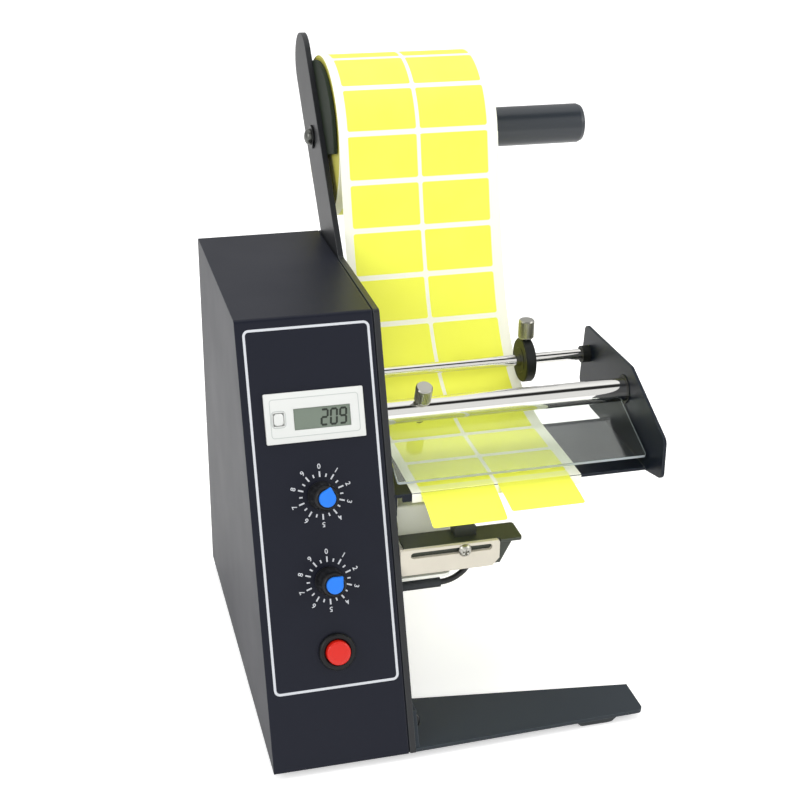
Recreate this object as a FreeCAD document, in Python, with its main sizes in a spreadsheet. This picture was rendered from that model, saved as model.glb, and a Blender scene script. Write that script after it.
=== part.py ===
import FreeCAD, Part
import math
import os
import re
import Sketcher

# A desk label dispenser: a leaning control box, an arm that carries the label roll, a feed table
# with a peel edge, a press cover, an edge guide, a label sensor and a motor-driven take-up.
# Millimetres. The sheet counts X from the box's left face, Y from its front bottom edge and Z from
# the desk. Every piece is then shifted so that the origin is the middle of the footprint.

document = FreeCAD.newDocument("label_dispenser")
sheet = document.addObject("Spreadsheet::Sheet", "sizes")

SIZES = {
    # control box
    "box_width": 67.2, "box_depth": 207.6, "box_height": 200.6, "tilt": 21.82,
    "cover_wall": 1.5, "seam": 0.8, "bend": 2.5, "plate_wall": 3.0, "foot_height": 4.0,
    "plate_right": "=box_width + plate_wall",
    # arm and roll
    "roll_y": 222.3, "roll_z": 252.9, "arm_half": 16.5, "arm_lean": 48.65, "arm_tip": 62.0,
    "tube_radius": 11.0, "tube_end": "=plate_right + 153.8", "core_wall": 2.0,
    "roll_radius": 43.6, "roll_left": "=plate_right + 2.6", "web_width": 87.0,
    "sheet_thick": 0.3, "running_fit": 0.06,
    # feed table and the web on it
    "table_left": "=plate_right", "table_top": 121.5, "table_front": 46.2, "table_back": 104.0,
    "cheek_inner": "=plate_right + 129.6", "sheet_wall": 1.5, "lip_depth": 4.2,
    "web_left": "=plate_right + 8.4",
    "label_length": 24.0, "label_width": 35.6, "label_gap": 4.4, "label_thick": 0.2,
    # bars, press cover and edge guide
    "bar_y": 79.3, "bar_z": 150.0, "bar_radius": 6.0, "rod_y": 129.0, "rod_z": 149.5,
    "rod_radius": 3.0, "cover_slope": 21.7, "cover_reach": 38.9, "cover_tail": 6.6,
    "cover_thick": 1.8, "thumb_x": "=plate_right + 21.3", "thumb_radius": 4.25,
    "guide_x": "=plate_right + 90", "guide_thick": 6.0, "guide_radius": 12.0,
    # take-up drive
    "take_y": 95.0, "take_z": 104.0, "take_shaft": 4.0, "mandrel_radius": 7.0,
    "mandrel_end": "=plate_right + 99.8", "wound_radius": 10.9, "gearbox_radius": 18.5,
    "gearbox_length": 25.0, "can_radius": 16.5, "can_length": 30.0, "motor_screw_ring": 15.0,
    # sensor
    "sensor_y": 34.5, "sensor_z": 97.0, "sensor_end": "=plate_right + 61.8",
    "plate_end": "=plate_right + 50.3", "slot_left": "=plate_right + 6.8",
    "slot_right": "=plate_right + 44.8", "slot_radius": 1.65, "slot_z": 93.7,
    "screw_x": "=plate_right + 32.3", "rail_y": 58.5, "rail_bottom": 78.0, "rail_top": 108.0,
    "cable_y": 45.0, "cable_z": 70.5, "cable_radius": 1.5,
    # front panel, along the panel from its bottom edge
    "counter_left": 10.4, "counter_low": 156.7, "counter_wide": 48.0, "counter_tall": 24.0,
    "dial_x": 34.4, "length_dial": 130.3, "speed_dial": 89.4, "length_set": 19.5,
    "speed_set": 47.5, "switch_x": 35.5, "switch_v": 54.8,
    # leg and small hardware
    "leg_end": "=plate_right + 120.4", "leg_foot_x": "=plate_right + 95.2", "leg_foot_y": 3.4,
    "screw_radius": 1.5,
}
for line, (alias, value) in enumerate(SIZES.items(), start=1):
    sheet.set(f"A{line}", alias)
    sheet.set(f"B{line}", str(value))
    sheet.setAlias(f"B{line}", alias)
document.recompute()

FOOTPRINT_X = "tube_end / 2"
FOOTPRINT_Y = "(roll_y + (arm_tip - arm_half) * cos(arm_lean) + arm_half) / 2"
PLANES = {"XY": "XY_Plane", "XZ": "XZ_Plane", "YZ": "YZ_Plane"}

ALONG_X = (FreeCAD.Vector(0, 0, -1), "90")
UPRIGHT = (FreeCAD.Vector(1, 0, 0), "90")
ON_PANEL = (FreeCAD.Vector(1, 0, 0), "90 - tilt")
OUT_OF_PANEL = (FreeCAD.Vector(1, 0, 0), "180 - tilt")


def bound(text):
    """Turn a formula on sheet names into an expression."""
    return re.sub(r"[a-z_]+", lambda word: f"sizes.{word[0]}" if word[0] in SIZES else word[0], text)


def amount(text):
    """Give the value of a formula on sheet names."""
    return float(sheet.evalExpression(bound(text)))


def place(item, base=("0", "0", "0"), turn=None, grouped=False):
    """Place an item by formulas; a member of a group leaves the shift to its group."""
    if turn:
        item.Placement = FreeCAD.Placement(
            FreeCAD.Vector(), FreeCAD.Rotation(turn[0], amount(turn[1]))
        )
        item.setExpression(".Placement.Rotation.Angle", bound(turn[1]))
    x, y, z = base
    if not grouped:
        x, y = f"{x} - {FOOTPRINT_X}", f"{y} - {FOOTPRINT_Y}"
    item.setExpression(".Placement.Base.x", bound(x))
    item.setExpression(".Placement.Base.y", bound(y))
    item.setExpression(".Placement.Base.z", bound(z))


def body(name, base=("0", "0", "0"), turn=None, grouped=False):
    item = document.addObject("PartDesign::Body", name)
    item.Label = name
    place(item, base, turn, grouped)
    return item


def group(name, members):
    """Join separate solids in one node."""
    item = document.addObject("Part::Compound", name)
    item.Label = name
    item.Links = members
    place(item)
    return item


def fix(drawing, edge, end, x, y):
    """Hold one end of a sketch edge at a formula position, measured from the sketch's origin."""
    for kind, text in (("DistanceX", x), ("DistanceY", y)):
        value = amount(text)
        if value < 0:
            points, text, value = (edge, end, -1, 1), f"-({text})", -value
        else:
            points = (-1, 1, edge, end)
        index = drawing.addConstraint(Sketcher.Constraint(kind, *points, value))
        drawing.setExpression(f"Constraints[{index}]", bound(text))


def draw_loop(drawing, corners):
    spots = [FreeCAD.Vector(amount(x), amount(y), 0) for x, y in corners]
    first = drawing.GeometryCount
    count = len(spots)
    for n in range(count):
        drawing.addGeometry(Part.LineSegment(spots[n], spots[(n + 1) % count]), False)
    for n in range(count):
        following = first + (n + 1) % count
        drawing.addConstraint(Sketcher.Constraint("Coincident", first + n, 2, following, 1))
    for n, (x, y) in enumerate(corners):
        fix(drawing, first + n, 1, x, y)


def draw_circle(drawing, x, y, radius):
    centre = FreeCAD.Vector(amount(x), amount(y), 0)
    edge = drawing.addGeometry(Part.Circle(centre, FreeCAD.Vector(0, 0, 1), amount(radius)), False)
    fix(drawing, edge, 3, x, y)
    index = drawing.addConstraint(Sketcher.Constraint("Radius", edge, amount(radius)))
    drawing.setExpression(f"Constraints[{index}]", bound(radius))


def sketch(item, plane, loops, start="0", leaning=False):
    """Draw loops on a plane of the body: a list of corners is a polygon, (x, y, r) is a circle."""
    drawing = item.newObject("Sketcher::SketchObject", f"{item.Name}_sketch")
    origin = item.Origin.OriginFeatures
    drawing.AttachmentSupport = (next(f for f in origin if f.Role == PLANES[plane]), [""])
    drawing.MapMode = "FlatFace"
    if leaning:
        drawing.AttachmentOffset = FreeCAD.Placement(
            FreeCAD.Vector(), FreeCAD.Rotation(FreeCAD.Vector(-1, 0, 0), amount("tilt"))
        )
        drawing.setExpression(".AttachmentOffset.Rotation.Angle", bound("tilt"))
        drawing.setExpression(".AttachmentOffset.Base.y", bound("foot_height"))
    else:
        drawing.setExpression(".AttachmentOffset.Base.z", bound(start))
    for loop in loops:
        if isinstance(loop, tuple):
            draw_circle(drawing, *loop)
        else:
            draw_loop(drawing, loop)
    return drawing


def from_start(plane, start, length):
    """The XZ plane faces the front, so its sketch stands at the far side."""
    return f"0 - ({start}) - ({length})" if plane == "XZ" else start


def pad(item, plane, loops, start, length):
    feature = item.newObject("PartDesign::Pad", f"{item.Name}_pad")
    feature.Profile = sketch(item, plane, loops, from_start(plane, start, length))
    feature.setExpression("Length", bound(length))
    return feature


def pocket(item, plane, loops, start, length):
    feature = item.newObject("PartDesign::Pocket", f"{item.Name}_pocket")
    feature.Profile = sketch(item, plane, loops, from_start(plane, start, length))
    feature.Reversed = True
    feature.setExpression("Length", bound(length))
    return feature


def turned(name, base, turn, profile, grouped=False):
    """Revolve a profile of (radius, distance along the axis) corners."""
    item = body(name, base, turn, grouped)
    feature = item.newObject("PartDesign::Revolution", f"{item.Name}_turning")
    drawing = sketch(item, "XY", [profile])
    feature.Profile = drawing
    feature.ReferenceAxis = (drawing, ["V_Axis"])
    feature.Angle = 360
    return item


def rounded(item, feature, radius, chosen, kind="Fillet"):
    """Round, or chamfer, the chosen edges of a feature."""
    document.recompute()
    names = [f"Edge{n}" for n, edge in enumerate(feature.Shape.Edges, start=1) if chosen(edge)]
    blend = item.newObject(f"PartDesign::{kind}", f"{item.Name}_{kind.lower()}")
    blend.Base = (feature, names)
    blend.setExpression("Radius" if kind == "Fillet" else "Size", bound(radius))
    return blend


def at_corners(plane, *corners):
    """Choose the straight edges that stand on the given corners of a plane."""
    wanted = [(amount(x), amount(y)) for x, y in corners]
    first, second = plane.lower()

    def chosen(edge):
        spots = {(round(getattr(v.Point, first), 3), round(getattr(v.Point, second), 3))
                 for v in edge.Vertexes}
        if len(spots) != 1:
            return False
        spot = spots.pop()
        return any(math.dist(spot, corner) < 0.01 for corner in wanted)

    return chosen


def rectangle(left, low, right, high):
    return [(left, low), (right, low), (right, high), (left, high)]


def tube(inner, outer, start, end):
    """The profile of a ring, or of a full disc where the inner radius is 0."""
    return rectangle(inner, start, outer, end)


def hexagon(x, y, radius):
    corners = range(0, 360, 60)
    return [(f"{x} + {radius} * cos({a})", f"{y} + {radius} * sin({a})") for a in corners]


def on_panel(u, v):
    """The place on the leaning panel that is u from its left edge and v up its slope."""
    return (u, f"({v}) * sin(tilt)", f"foot_height + ({v}) * cos(tilt)")


# ---------------------------------------------------------------- control box

box_top = "(foot_height + box_height)"
lean_run = "(box_height * tan(tilt))"
front_shift = "(cover_wall / cos(tilt))"
inner_top = f"({box_top} - cover_wall)"
seam_front = "(seam / cos(tilt))"
counter_hole = rectangle("counter_left + 1.5", "counter_low + 0.9",
                         "counter_left + counter_wide - 1.5", "counter_low + counter_tall - 0.9")

cover_shell = body("cover_shell")
shell_block = pad(cover_shell, "YZ", [[
    ("0", "foot_height"), ("box_depth", "foot_height"), ("box_depth", box_top), (lean_run, box_top),
]], "0", "box_width - seam")
rounded(cover_shell, shell_block, "bend",
        at_corners("YZ", ("box_depth", box_top), (lean_run, box_top)))
# The shell's edge is stepped down where it meets the side plate, which leaves a thin dark seam.
pad(cover_shell, "YZ", [[
    (seam_front, "foot_height"), ("box_depth - seam", "foot_height"),
    ("box_depth - seam", f"{box_top} - seam"),
    (f"{lean_run} - seam * tan(tilt) + {seam_front}", f"{box_top} - seam"),
]], "box_width - seam", "seam")
pocket(cover_shell, "YZ", [[
    (front_shift, "foot_height"), ("box_depth - cover_wall", "foot_height"),
    ("box_depth - cover_wall", inner_top),
    (f"{lean_run} - cover_wall * tan(tilt) + {front_shift}", inner_top),
]], "cover_wall", "box_width")
panel_holes = cover_shell.newObject("PartDesign::Pocket", "panel_holes")
panel_holes.Profile = sketch(cover_shell, "XZ", [
    counter_hole, ("dial_x", "length_dial", "3.6"), ("dial_x", "speed_dial", "3.6"),
    ("switch_x", "switch_v", "8"),
], leaning=True)
panel_holes.setExpression("Length", bound("cover_wall * 3"))
pocket(cover_shell, "XZ", [
    ("20", "44", "5.6"), ("14", "9.5", "screw_radius"), ("54", "9.5", "screw_radius"),
], "box_depth - cover_wall * 2", "cover_wall * 3")

arm_front = f"(roll_y - arm_half * sin(arm_lean) + ({box_top} - roll_z - arm_half * cos(arm_lean))" \
            " / tan(arm_lean))"
arm_back = f"(roll_y + arm_half * sin(arm_lean) + ({box_top} - roll_z + arm_half * cos(arm_lean))" \
           " / tan(arm_lean))"
tip_front = ("roll_y - arm_half * sin(arm_lean) + arm_tip * cos(arm_lean)",
             "roll_z + arm_half * cos(arm_lean) + arm_tip * sin(arm_lean)")
tip_back = ("roll_y + arm_half * sin(arm_lean) + arm_tip * cos(arm_lean)",
            "roll_z - arm_half * cos(arm_lean) + arm_tip * sin(arm_lean)")
motor_screw_spots = [
    (f"take_y + motor_screw_ring * cos({a})", f"take_z + motor_screw_ring * sin({a})")
    for a in (45, 135, 225, 315)
]
table_screw_spots = [("55", "table_top - 7.5"), ("72", "table_top - 7.5")]
leg_screw_spots = [("10.5", "15"), ("32", "15")]
sensor_screw_spots = [("44", "88"), ("54", "100")]

main_side_plate = body("main_side_plate")
plate_block = pad(main_side_plate, "YZ", [[
    ("0", "foot_height"), ("box_depth", "foot_height"), ("box_depth", box_top), (arm_back, box_top),
    tip_back, tip_front, (arm_front, box_top), (lean_run, box_top),
]], "box_width", "plate_wall")
arm_round = rounded(main_side_plate, plate_block, "arm_half - 0.01",
                    at_corners("YZ", tip_back, tip_front))
arm_root = rounded(main_side_plate, arm_round, "bend",
                   at_corners("YZ", (arm_front, box_top), (lean_run, box_top),
                              ("box_depth", box_top)))
pocket(main_side_plate, "YZ", [
    ("roll_y", "roll_z", "3"), ("take_y", "take_z", "8"), ("bar_y", "bar_z", "7.5"),
    ("cable_y", "cable_z", "2.4"),
] + [(y, z, "screw_radius") for y, z in motor_screw_spots]
  + [(y, z, "2") for y, z in table_screw_spots + leg_screw_spots + sensor_screw_spots],
    "box_width - 1", "plate_wall + 2")



def rim_at(radius, spots, x):
    """Choose the full circles of one radius that lie on given centres at a given X."""
    wanted = [(amount(y), amount(z)) for y, z in spots]

    def chosen(edge):
        if len(edge.Vertexes) != 1 or not hasattr(edge.Curve, "Radius"):
            return False
        middle = edge.Curve.Center
        fits = abs(edge.Curve.Radius - amount(radius)) < 0.01 and abs(middle.x - amount(x)) < 0.01
        return fits and any(math.dist((middle.y, middle.z), spot) < 0.01 for spot in wanted)

    return chosen


rounded(main_side_plate, main_side_plate.Tip, "1.5",
        rim_at("screw_radius", motor_screw_spots, "plate_right"), kind="Chamfer")

bottom_plate = body("bottom_plate")
pad(bottom_plate, "XZ", [[
    ("1.6", "foot_height"), ("box_width", "foot_height"), ("box_width", "foot_height + 8"),
    ("box_width - 1.5", "foot_height + 8"), ("box_width - 1.5", "foot_height + 1.5"),
    ("3.1", "foot_height + 1.5"), ("3.1", "foot_height + 8"), ("1.6", "foot_height + 8"),
]], "6.2", "box_depth - 8")
pad(bottom_plate, "XY", [rectangle("1.6", "2.4", "box_width", "6.2")], "foot_height", "1.5")
pad(bottom_plate, "XZ", [rectangle("1.6", "foot_height", "box_width", "foot_height + 8")],
    "box_depth - 3", "1.5")
pocket(bottom_plate, "XZ", [("14", "9.5", "screw_radius"), ("54", "9.5", "screw_radius")],
       "box_depth - 4", "3")

group("cover_screws", [
    turned(f"cover_screw_{n}", (x, "0", "9.5"), None, [
        ("0", "box_depth - 8"), ("screw_radius", "box_depth - 8"), ("screw_radius", "box_depth"),
        ("3", "box_depth"), ("2.4", "box_depth + 1.6"), ("0", "box_depth + 1.8"),
    ], grouped=True)
    for n, x in enumerate(("14", "54"), start=1)
])

turned("power_inlet", ("20", "0", "44"), None, [
    ("0", "box_depth - 12"), ("5.5", "box_depth - 12"), ("5.5", "box_depth"), ("7", "box_depth"),
    ("7", "box_depth + 1.5"), ("2.8", "box_depth + 1.5"), ("2.8", "box_depth - 9"),
    ("1", "box_depth - 9"), ("1", "box_depth"), ("0", "box_depth"),
])

# ---------------------------------------------------------------- front panel

counter_housing = body("counter_housing", on_panel("0", "0"), ON_PANEL)
bezel = pad(counter_housing, "XY", [
    rectangle("counter_left", "counter_low", "counter_left + counter_wide",
              "counter_low + counter_tall"),
], "0", "1.8")
pad(counter_housing, "XY", [counter_hole], "-45", "45")
window = rectangle("counter_left + 13.8", "counter_low + 5.8",
                   "counter_left + 41.2", "counter_low + 16")
button_hole = rectangle("counter_left + 3.3", "counter_low + 8.6",
                        "counter_left + 9.7", "counter_low + 14.6")
pocket(counter_housing, "XY", [window], "1", "2")
pocket(counter_housing, "XY", [button_hole], "-3", "6")

counter_display = body("counter_display", on_panel("0", "0"), ON_PANEL)
pad(counter_display, "XY", [rectangle(
    "counter_left + 13.9", "counter_low + 5.9", "counter_left + 41.1", "counter_low + 15.9",
)], "1", "0.5")

counter_reset_button = body("counter_reset_button", on_panel("0", "0"), ON_PANEL)
reset_corners = rectangle("counter_left + 3.5", "counter_low + 8.8",
                          "counter_left + 9.5", "counter_low + 14.4")
reset_block = pad(counter_reset_button, "XY", [reset_corners], "-2.1", "4.8")
rounded(counter_reset_button, reset_block, "1.6", at_corners("XY", *reset_corners))

panel_nuts = []
for side in ("length", "speed"):
    spot = on_panel("dial_x", f"{side}_dial")
    turned(f"{side}_potentiometer", spot, OUT_OF_PANEL, [
        ("0", "-13"), ("8.2", "-13"), ("8.2", "-cover_wall"), ("3.6", "-cover_wall"), ("3.6", "5"),
        ("3 + running_fit", "5"), ("3 + running_fit", "-10"), ("0", "-10"),
    ])
    turned(f"{side}_pot_shaft", spot, OUT_OF_PANEL, tube("0", "3", "-9.9", "12"))
    turned(f"{side}_knob", spot, OUT_OF_PANEL, [
        ("6.5", "0.8"), ("7.6", "0.8"), ("7.6", "2.5"), ("6.9", "14.5"), ("6.2", "15.2"),
        ("0", "15.2"), ("0", "12"), ("3", "12"), ("3", "6"), ("6.5", "6"),
    ])
    cap = body(f"{side}_knob_cap", spot, ON_PANEL)
    pad(cap, "XY", [("0", "0", "4.3")], "15.2", "1.2")
    pad(cap, "XY", [[
        (f"6.2 * sin({side}_set)", f"6.2 * cos({side}_set)"),
        (f"4.2 * sin({side}_set + 46)", f"4.2 * cos({side}_set + 46)"), ("0", "0"),
        (f"4.2 * sin({side}_set - 46)", f"4.2 * cos({side}_set - 46)"),
    ]], "15.2", "1.2")
    nut = body(f"{side}_pot_nut", spot, ON_PANEL, grouped=True)
    pad(nut, "XY", [hexagon("0", "0", "5.8"), ("0", "0", "3.6")], "0", "2")
    panel_nuts.append(nut)

switch_spot = on_panel("switch_x", "switch_v")
turned("power_switch_body", switch_spot, OUT_OF_PANEL, [
    ("0", "-24"), ("8", "-24"), ("8", "0"), ("9", "0"), ("9", "1.6"), ("8.2", "2.4"),
    ("6.1", "2.4"), ("6.1", "-8"), ("0", "-8"),
])
panel_nuts.append(turned("switch_nut", switch_spot, OUT_OF_PANEL,
                         tube("8", "10.5", "-cover_wall - 3", "-cover_wall"), grouped=True))
group("panel_nuts", panel_nuts)
turned("power_button", switch_spot, OUT_OF_PANEL, [
    ("0", "-5"), ("5.9", "-5"), ("5.9", "4.2"), ("5", "5.2"), ("0", "5.4"),
])

# ---------------------------------------------------------------- inside the box

board = body("control_board")
board_block = pad(board, "XY", [rectangle("8", "70", "58", "150")], "foot_height + 9.5", "1.6")
board_spots = [(x, y) for x in ("12", "54") for y in ("74", "146")]
group("board_standoffs", [
    turned(f"standoff_{n}", (x, y, "0"), UPRIGHT,
           tube("0", "3", "foot_height + 1.5", "foot_height + 9.5"), grouped=True)
    for n, (x, y) in enumerate(board_spots, start=1)
])


def block(name, left, front, low, right, back, high):
    item = body(name, grouped=True)
    pad(item, "XY", [rectangle(left, front, right, back)], low, f"({high}) - ({low})")
    return item


board_top = "foot_height + 11.1"
group("board_components", [
    turned("capacitor_1", ("24", "84", "0"), UPRIGHT,
           tube("0", "5", board_top, "foot_height + 24"), grouped=True),
    turned("capacitor_2", ("38", "84", "0"), UPRIGHT,
           tube("0", "5", board_top, "foot_height + 24"), grouped=True),
    block("driver_chip", "24", "105", board_top, "36", "120", "foot_height + 14"),
    block("terminal_block", "16", "134", board_top, "46", "143", "foot_height + 21"),
    block("heat_sink", "44", "100", board_top, "52", "124", "foot_height + 26"),
])

gearbox = turned("gearmotor_gearbox", ("0", "take_y", "take_z"), ALONG_X, [
    ("0", "box_width - gearbox_length"), ("gearbox_radius", "box_width - gearbox_length"),
    ("gearbox_radius", "box_width"), ("take_shaft + running_fit", "box_width"),
    ("take_shaft + running_fit", "box_width - 15"), ("0", "box_width - 15"),
])
pocket(gearbox, "XZ", [
    (f"motor_screw_ring * cos({a})", f"motor_screw_ring * sin({a})", "screw_radius")
    for a in (45, 135, 225, 315)
], "box_width - 8", "10")
turned("gearmotor_can", ("0", "take_y", "take_z"), ALONG_X, tube(
    "0", "can_radius", "box_width - gearbox_length - can_length", "box_width - gearbox_length",
))
group("motor_screws", [
    turned(f"motor_screw_{n}", ("0", y, z), ALONG_X, [
        ("0", "box_width - 7"), ("screw_radius", "box_width - 7"),
        ("screw_radius", "plate_right - 1.5"), ("screw_radius + 1.5", "plate_right"),
        ("0", "plate_right"),
    ], grouped=True)
    for n, (y, z) in enumerate(motor_screw_spots, start=1)
])

# ---------------------------------------------------------------- take-up

take_spot = ("0", "take_y", "take_z")
turned("take_up_bearing", take_spot, ALONG_X, [
    ("take_shaft + running_fit", "box_width"), ("8", "box_width"), ("8", "plate_right"),
    ("10", "plate_right"), ("10", "plate_right + 1.5"),
    ("take_shaft + running_fit", "plate_right + 1.5"),
])
take_up_spindle = turned("take_up_spindle", take_spot, ALONG_X, [
    ("0", "box_width - 14.8"), ("take_shaft", "box_width - 14.8"),
    ("take_shaft", "plate_right + 2.3"), ("mandrel_radius", "plate_right + 2.3"),
    ("mandrel_radius", "mandrel_end"), ("0", "mandrel_end"),
])
for low in ("mandrel_radius - 2", "-mandrel_radius - 1"):
    slot = rectangle("-1", "mandrel_end - 70", "1", "mandrel_end + 1")
    pocket(take_up_spindle, "XY", [slot], low, "3")

take_up_clip = body("take_up_clip", take_spot, ALONG_X)
pad(take_up_clip, "YZ", [[
    ("mandrel_end - 68", "mandrel_radius - 0.1"), ("mandrel_end + 2", "mandrel_radius - 0.1"),
    ("mandrel_end + 2", "0.1 - mandrel_radius"), ("mandrel_end - 68", "0.1 - mandrel_radius"),
    ("mandrel_end - 68", "1.9 - mandrel_radius"), ("mandrel_end + 0.3", "1.9 - mandrel_radius"),
    ("mandrel_end + 0.3", "mandrel_radius - 1.9"), ("mandrel_end - 68", "mandrel_radius - 1.9"),
]], "-0.9", "1.8")

turned("wound_liner", take_spot, ALONG_X,
       tube("mandrel_radius", "wound_radius", "web_left", "web_left + web_width"))

# ---------------------------------------------------------------- feed table

table_low = "(table_top - sheet_wall)"
cheek_outer = "(cheek_inner + sheet_wall)"
feed_table = body("feed_table")
pad(feed_table, "XY", [rectangle("table_left", "table_front", cheek_outer, "table_back")],
    table_low, "sheet_wall")
pad(feed_table, "XZ", [rectangle(
    "table_left + 3.8", "table_top - lip_depth", "web_left + web_width - 1", "table_top",
)], "table_front", "sheet_wall")
pad(feed_table, "YZ", [rectangle("table_front + 1.8", "table_top - 12.5", "79", "table_top")],
    "table_left", "sheet_wall")
cheek_outline = [
    ("table_front", "table_top - 1.5"), ("table_back", "table_top - 1.5"), ("122", "table_top - 1.5"),
    ("139.4", "table_top + 8"), ("136", "table_top + 42.5"), ("73", "table_top + 43.5"),
    ("28", "table_top + 23.5"), ("27.2", "table_top + 2.9"),
]
cheek = pad(feed_table, "YZ", [cheek_outline], "cheek_inner", "sheet_wall")
rounded(feed_table, cheek, "4", at_corners("YZ", *cheek_outline[3:]))
pocket(feed_table, "YZ", [("bar_y", "bar_z", "7.5"), ("rod_y", "rod_z", "2")],
       "cheek_inner - 1", "4")
pocket(feed_table, "YZ", [(y, z, "2") for y, z in table_screw_spots], "table_left - 1", "4")


def dome_screw(name, spots, plate_face, reach, head):
    """Dome-head screws whose heads stand to the right of a face across X."""
    group(name, [
        turned(f"{name}_{n}", ("0", y, z), ALONG_X, [
            ("0", f"{plate_face} - {reach}"), ("2", f"{plate_face} - {reach}"),
            ("2", plate_face), (head, plate_face), (head, f"{plate_face} + 0.7"),
            (f"{head} * 0.6", f"{plate_face} + 2"), ("0", f"{plate_face} + 2.2"),
        ], grouped=True)
        for n, (y, z) in enumerate(spots, start=1)
    ])


dome_screw("table_screws", table_screw_spots, "(table_left + sheet_wall)", "5.5", "3.4")

guide_rod = turned("guide_rod", ("0", "rod_y", "rod_z"), ALONG_X, [
    ("0", "plate_right"), ("rod_radius", "plate_right"), ("rod_radius", "cheek_inner"),
    ("2", "cheek_inner"), ("2", "cheek_inner - 10"), ("0", "cheek_inner - 10"),
])
group("guide_rod_bosses", [
    turned(f"rod_boss_{n}", ("0", "rod_y", "rod_z"), ALONG_X,
           tube("rod_radius", "rod_radius + 1.6", start, f"{start} + 4.5"), grouped=True)
    for n, start in enumerate(("plate_right", "cheek_inner - 4.5"), start=1)
])
dome_screw("guide_rod_screw", [("rod_y", "rod_z")], cheek_outer, "11", "3.8")

edge_guide_disc = turned("edge_guide_disc", ("0", "rod_y", "rod_z"), ALONG_X, tube(
    "rod_radius + running_fit", "guide_radius", "guide_x", "guide_x + guide_thick",
))
pocket(edge_guide_disc, "XY", [("0", "guide_x + guide_thick / 2", "2 + running_fit")], "0",
       "guide_radius + 2")

turned("edge_guide_thumbscrew", ("guide_x + guide_thick / 2", "rod_y", "rod_z"), UPRIGHT, [
    ("0", "rod_radius + 0.1"), ("2", "rod_radius + 0.1"), ("2", "guide_radius + 0.6"),
    ("thumb_radius", "guide_radius + 0.6"), ("thumb_radius", "guide_radius + 10.3"),
    ("thumb_radius - 0.7", "guide_radius + 11"), ("0", "guide_radius + 11"),
])

bar_spot = ("0", "bar_y", "bar_z")
SLOPED = (FreeCAD.Vector(1, 0, 0), "cover_slope")
bar_end = f"({cheek_outer} + 0.2)"
press_bar = body("press_bar", bar_spot, SLOPED)
pad(press_bar, "YZ", [("0", "0", "bar_radius")], "box_width + 0.4",
    f"{bar_end} - box_width - 0.4")
pocket(press_bar, "XY", [("thumb_x", "0", "2")], "-bar_radius - 1", "bar_radius * 2 + 2")
pocket(press_bar, "YZ", [("0", "0", "2")], f"{bar_end} - 11", "12")
group("press_bar_bushes", [
    turned("left_bush", bar_spot, ALONG_X, [
        ("bar_radius + running_fit", "box_width"), ("7.5", "box_width"),
        ("7.5", "plate_right + 0.4"), ("bar_radius + running_fit", "plate_right + 0.4"),
    ], grouped=True),
    turned("right_bush", bar_spot, ALONG_X, [
        ("bar_radius + running_fit", "cheek_inner - 0.4"), ("7.5", "cheek_inner - 0.4"),
        ("7.5", cheek_outer), ("bar_radius + running_fit", cheek_outer),
    ], grouped=True),
])
turned("press_bar_screw", bar_spot, ALONG_X, [
    ("0", f"{bar_end} - 10"), ("2", f"{bar_end} - 10"), ("2", bar_end), ("7.5", bar_end),
    ("7.5", f"{bar_end} + 0.8"), ("4", f"{bar_end} + 0.8"), ("3", f"{bar_end} + 2.4"),
    ("0", f"{bar_end} + 2.6"),
])

press_cover = body("press_cover", bar_spot, SLOPED)
cover_corners = rectangle("plate_right + 1.4", "-cover_reach", "cheek_inner - 1.4", "cover_tail")
cover_block = pad(press_cover, "XY", [cover_corners], "-bar_radius - cover_thick", "cover_thick")
rounded(press_cover, cover_block, "2.5", at_corners("XY", *cover_corners))
pocket(press_cover, "XY", [("thumb_x", "0", "2")], "-bar_radius - cover_thick - 1",
       "cover_thick + 2")
turned("cover_thumbscrew", ("thumb_x", "bar_y", "bar_z"),
       (FreeCAD.Vector(1, 0, 0), "90 + cover_slope"), [
    ("0", "-bar_radius - cover_thick - 0.8"), ("2", "-bar_radius - cover_thick - 0.8"),
    ("2", "bar_radius + 0.6"), ("thumb_radius", "bar_radius + 0.6"),
    ("thumb_radius", "bar_radius + 9.4"), ("thumb_radius - 0.7", "bar_radius + 10.1"),
    ("0", "bar_radius + 10.1"),
])

# ---------------------------------------------------------------- roll and web

roll_spot = ("0", "roll_y", "roll_z")
turned("spindle_tube", roll_spot, ALONG_X, [
    ("0", "plate_right + 16"), ("3", "plate_right + 16"), ("3", "plate_right"),
    ("tube_radius", "plate_right"), ("tube_radius", "tube_end - 3"),
    ("tube_radius - 0.9", "tube_end - 0.9"), ("tube_radius - 3", "tube_end"), ("0", "tube_end"),
    ("0", "tube_end - 2"), ("tube_radius - 2", "tube_end - 4"),
    ("tube_radius - 2", "plate_right + 18"), ("0", "plate_right + 18"),
])
turned("spindle_washer", roll_spot, ALONG_X, tube("3", "8", "box_width - 1.2", "box_width"))
turned("spindle_bolt", roll_spot, ALONG_X, [
    ("0", "plate_right + 14"), ("3", "plate_right + 14"), ("3", "box_width - 1.2"),
    ("5.6", "box_width - 1.2"), ("5.2", "box_width - 3"), ("3.6", "box_width - 4.4"),
    ("0", "box_width - 5"),
])

side_guide = body("roll_side_guide", roll_spot, (FreeCAD.Vector(-1, 0, 0), "14.7"))
pad(side_guide, "YZ", [("0", "0", "roll_radius - 2.6"), ("0", "0", "tube_radius")],
    "plate_right", "2")
pocket(side_guide, "YZ", [rectangle("-50", "-50", "50", "-9.6")], "plate_right - 1", "4")

turned("roll_core", roll_spot, ALONG_X, tube(
    "tube_radius + running_fit", "tube_radius + running_fit + core_wall", "roll_left",
    "roll_left + web_width",
))
turned("label_roll", roll_spot, ALONG_X, tube(
    "tube_radius + running_fit + core_wall", "roll_radius", "roll_left", "roll_left + web_width",
))

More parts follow.
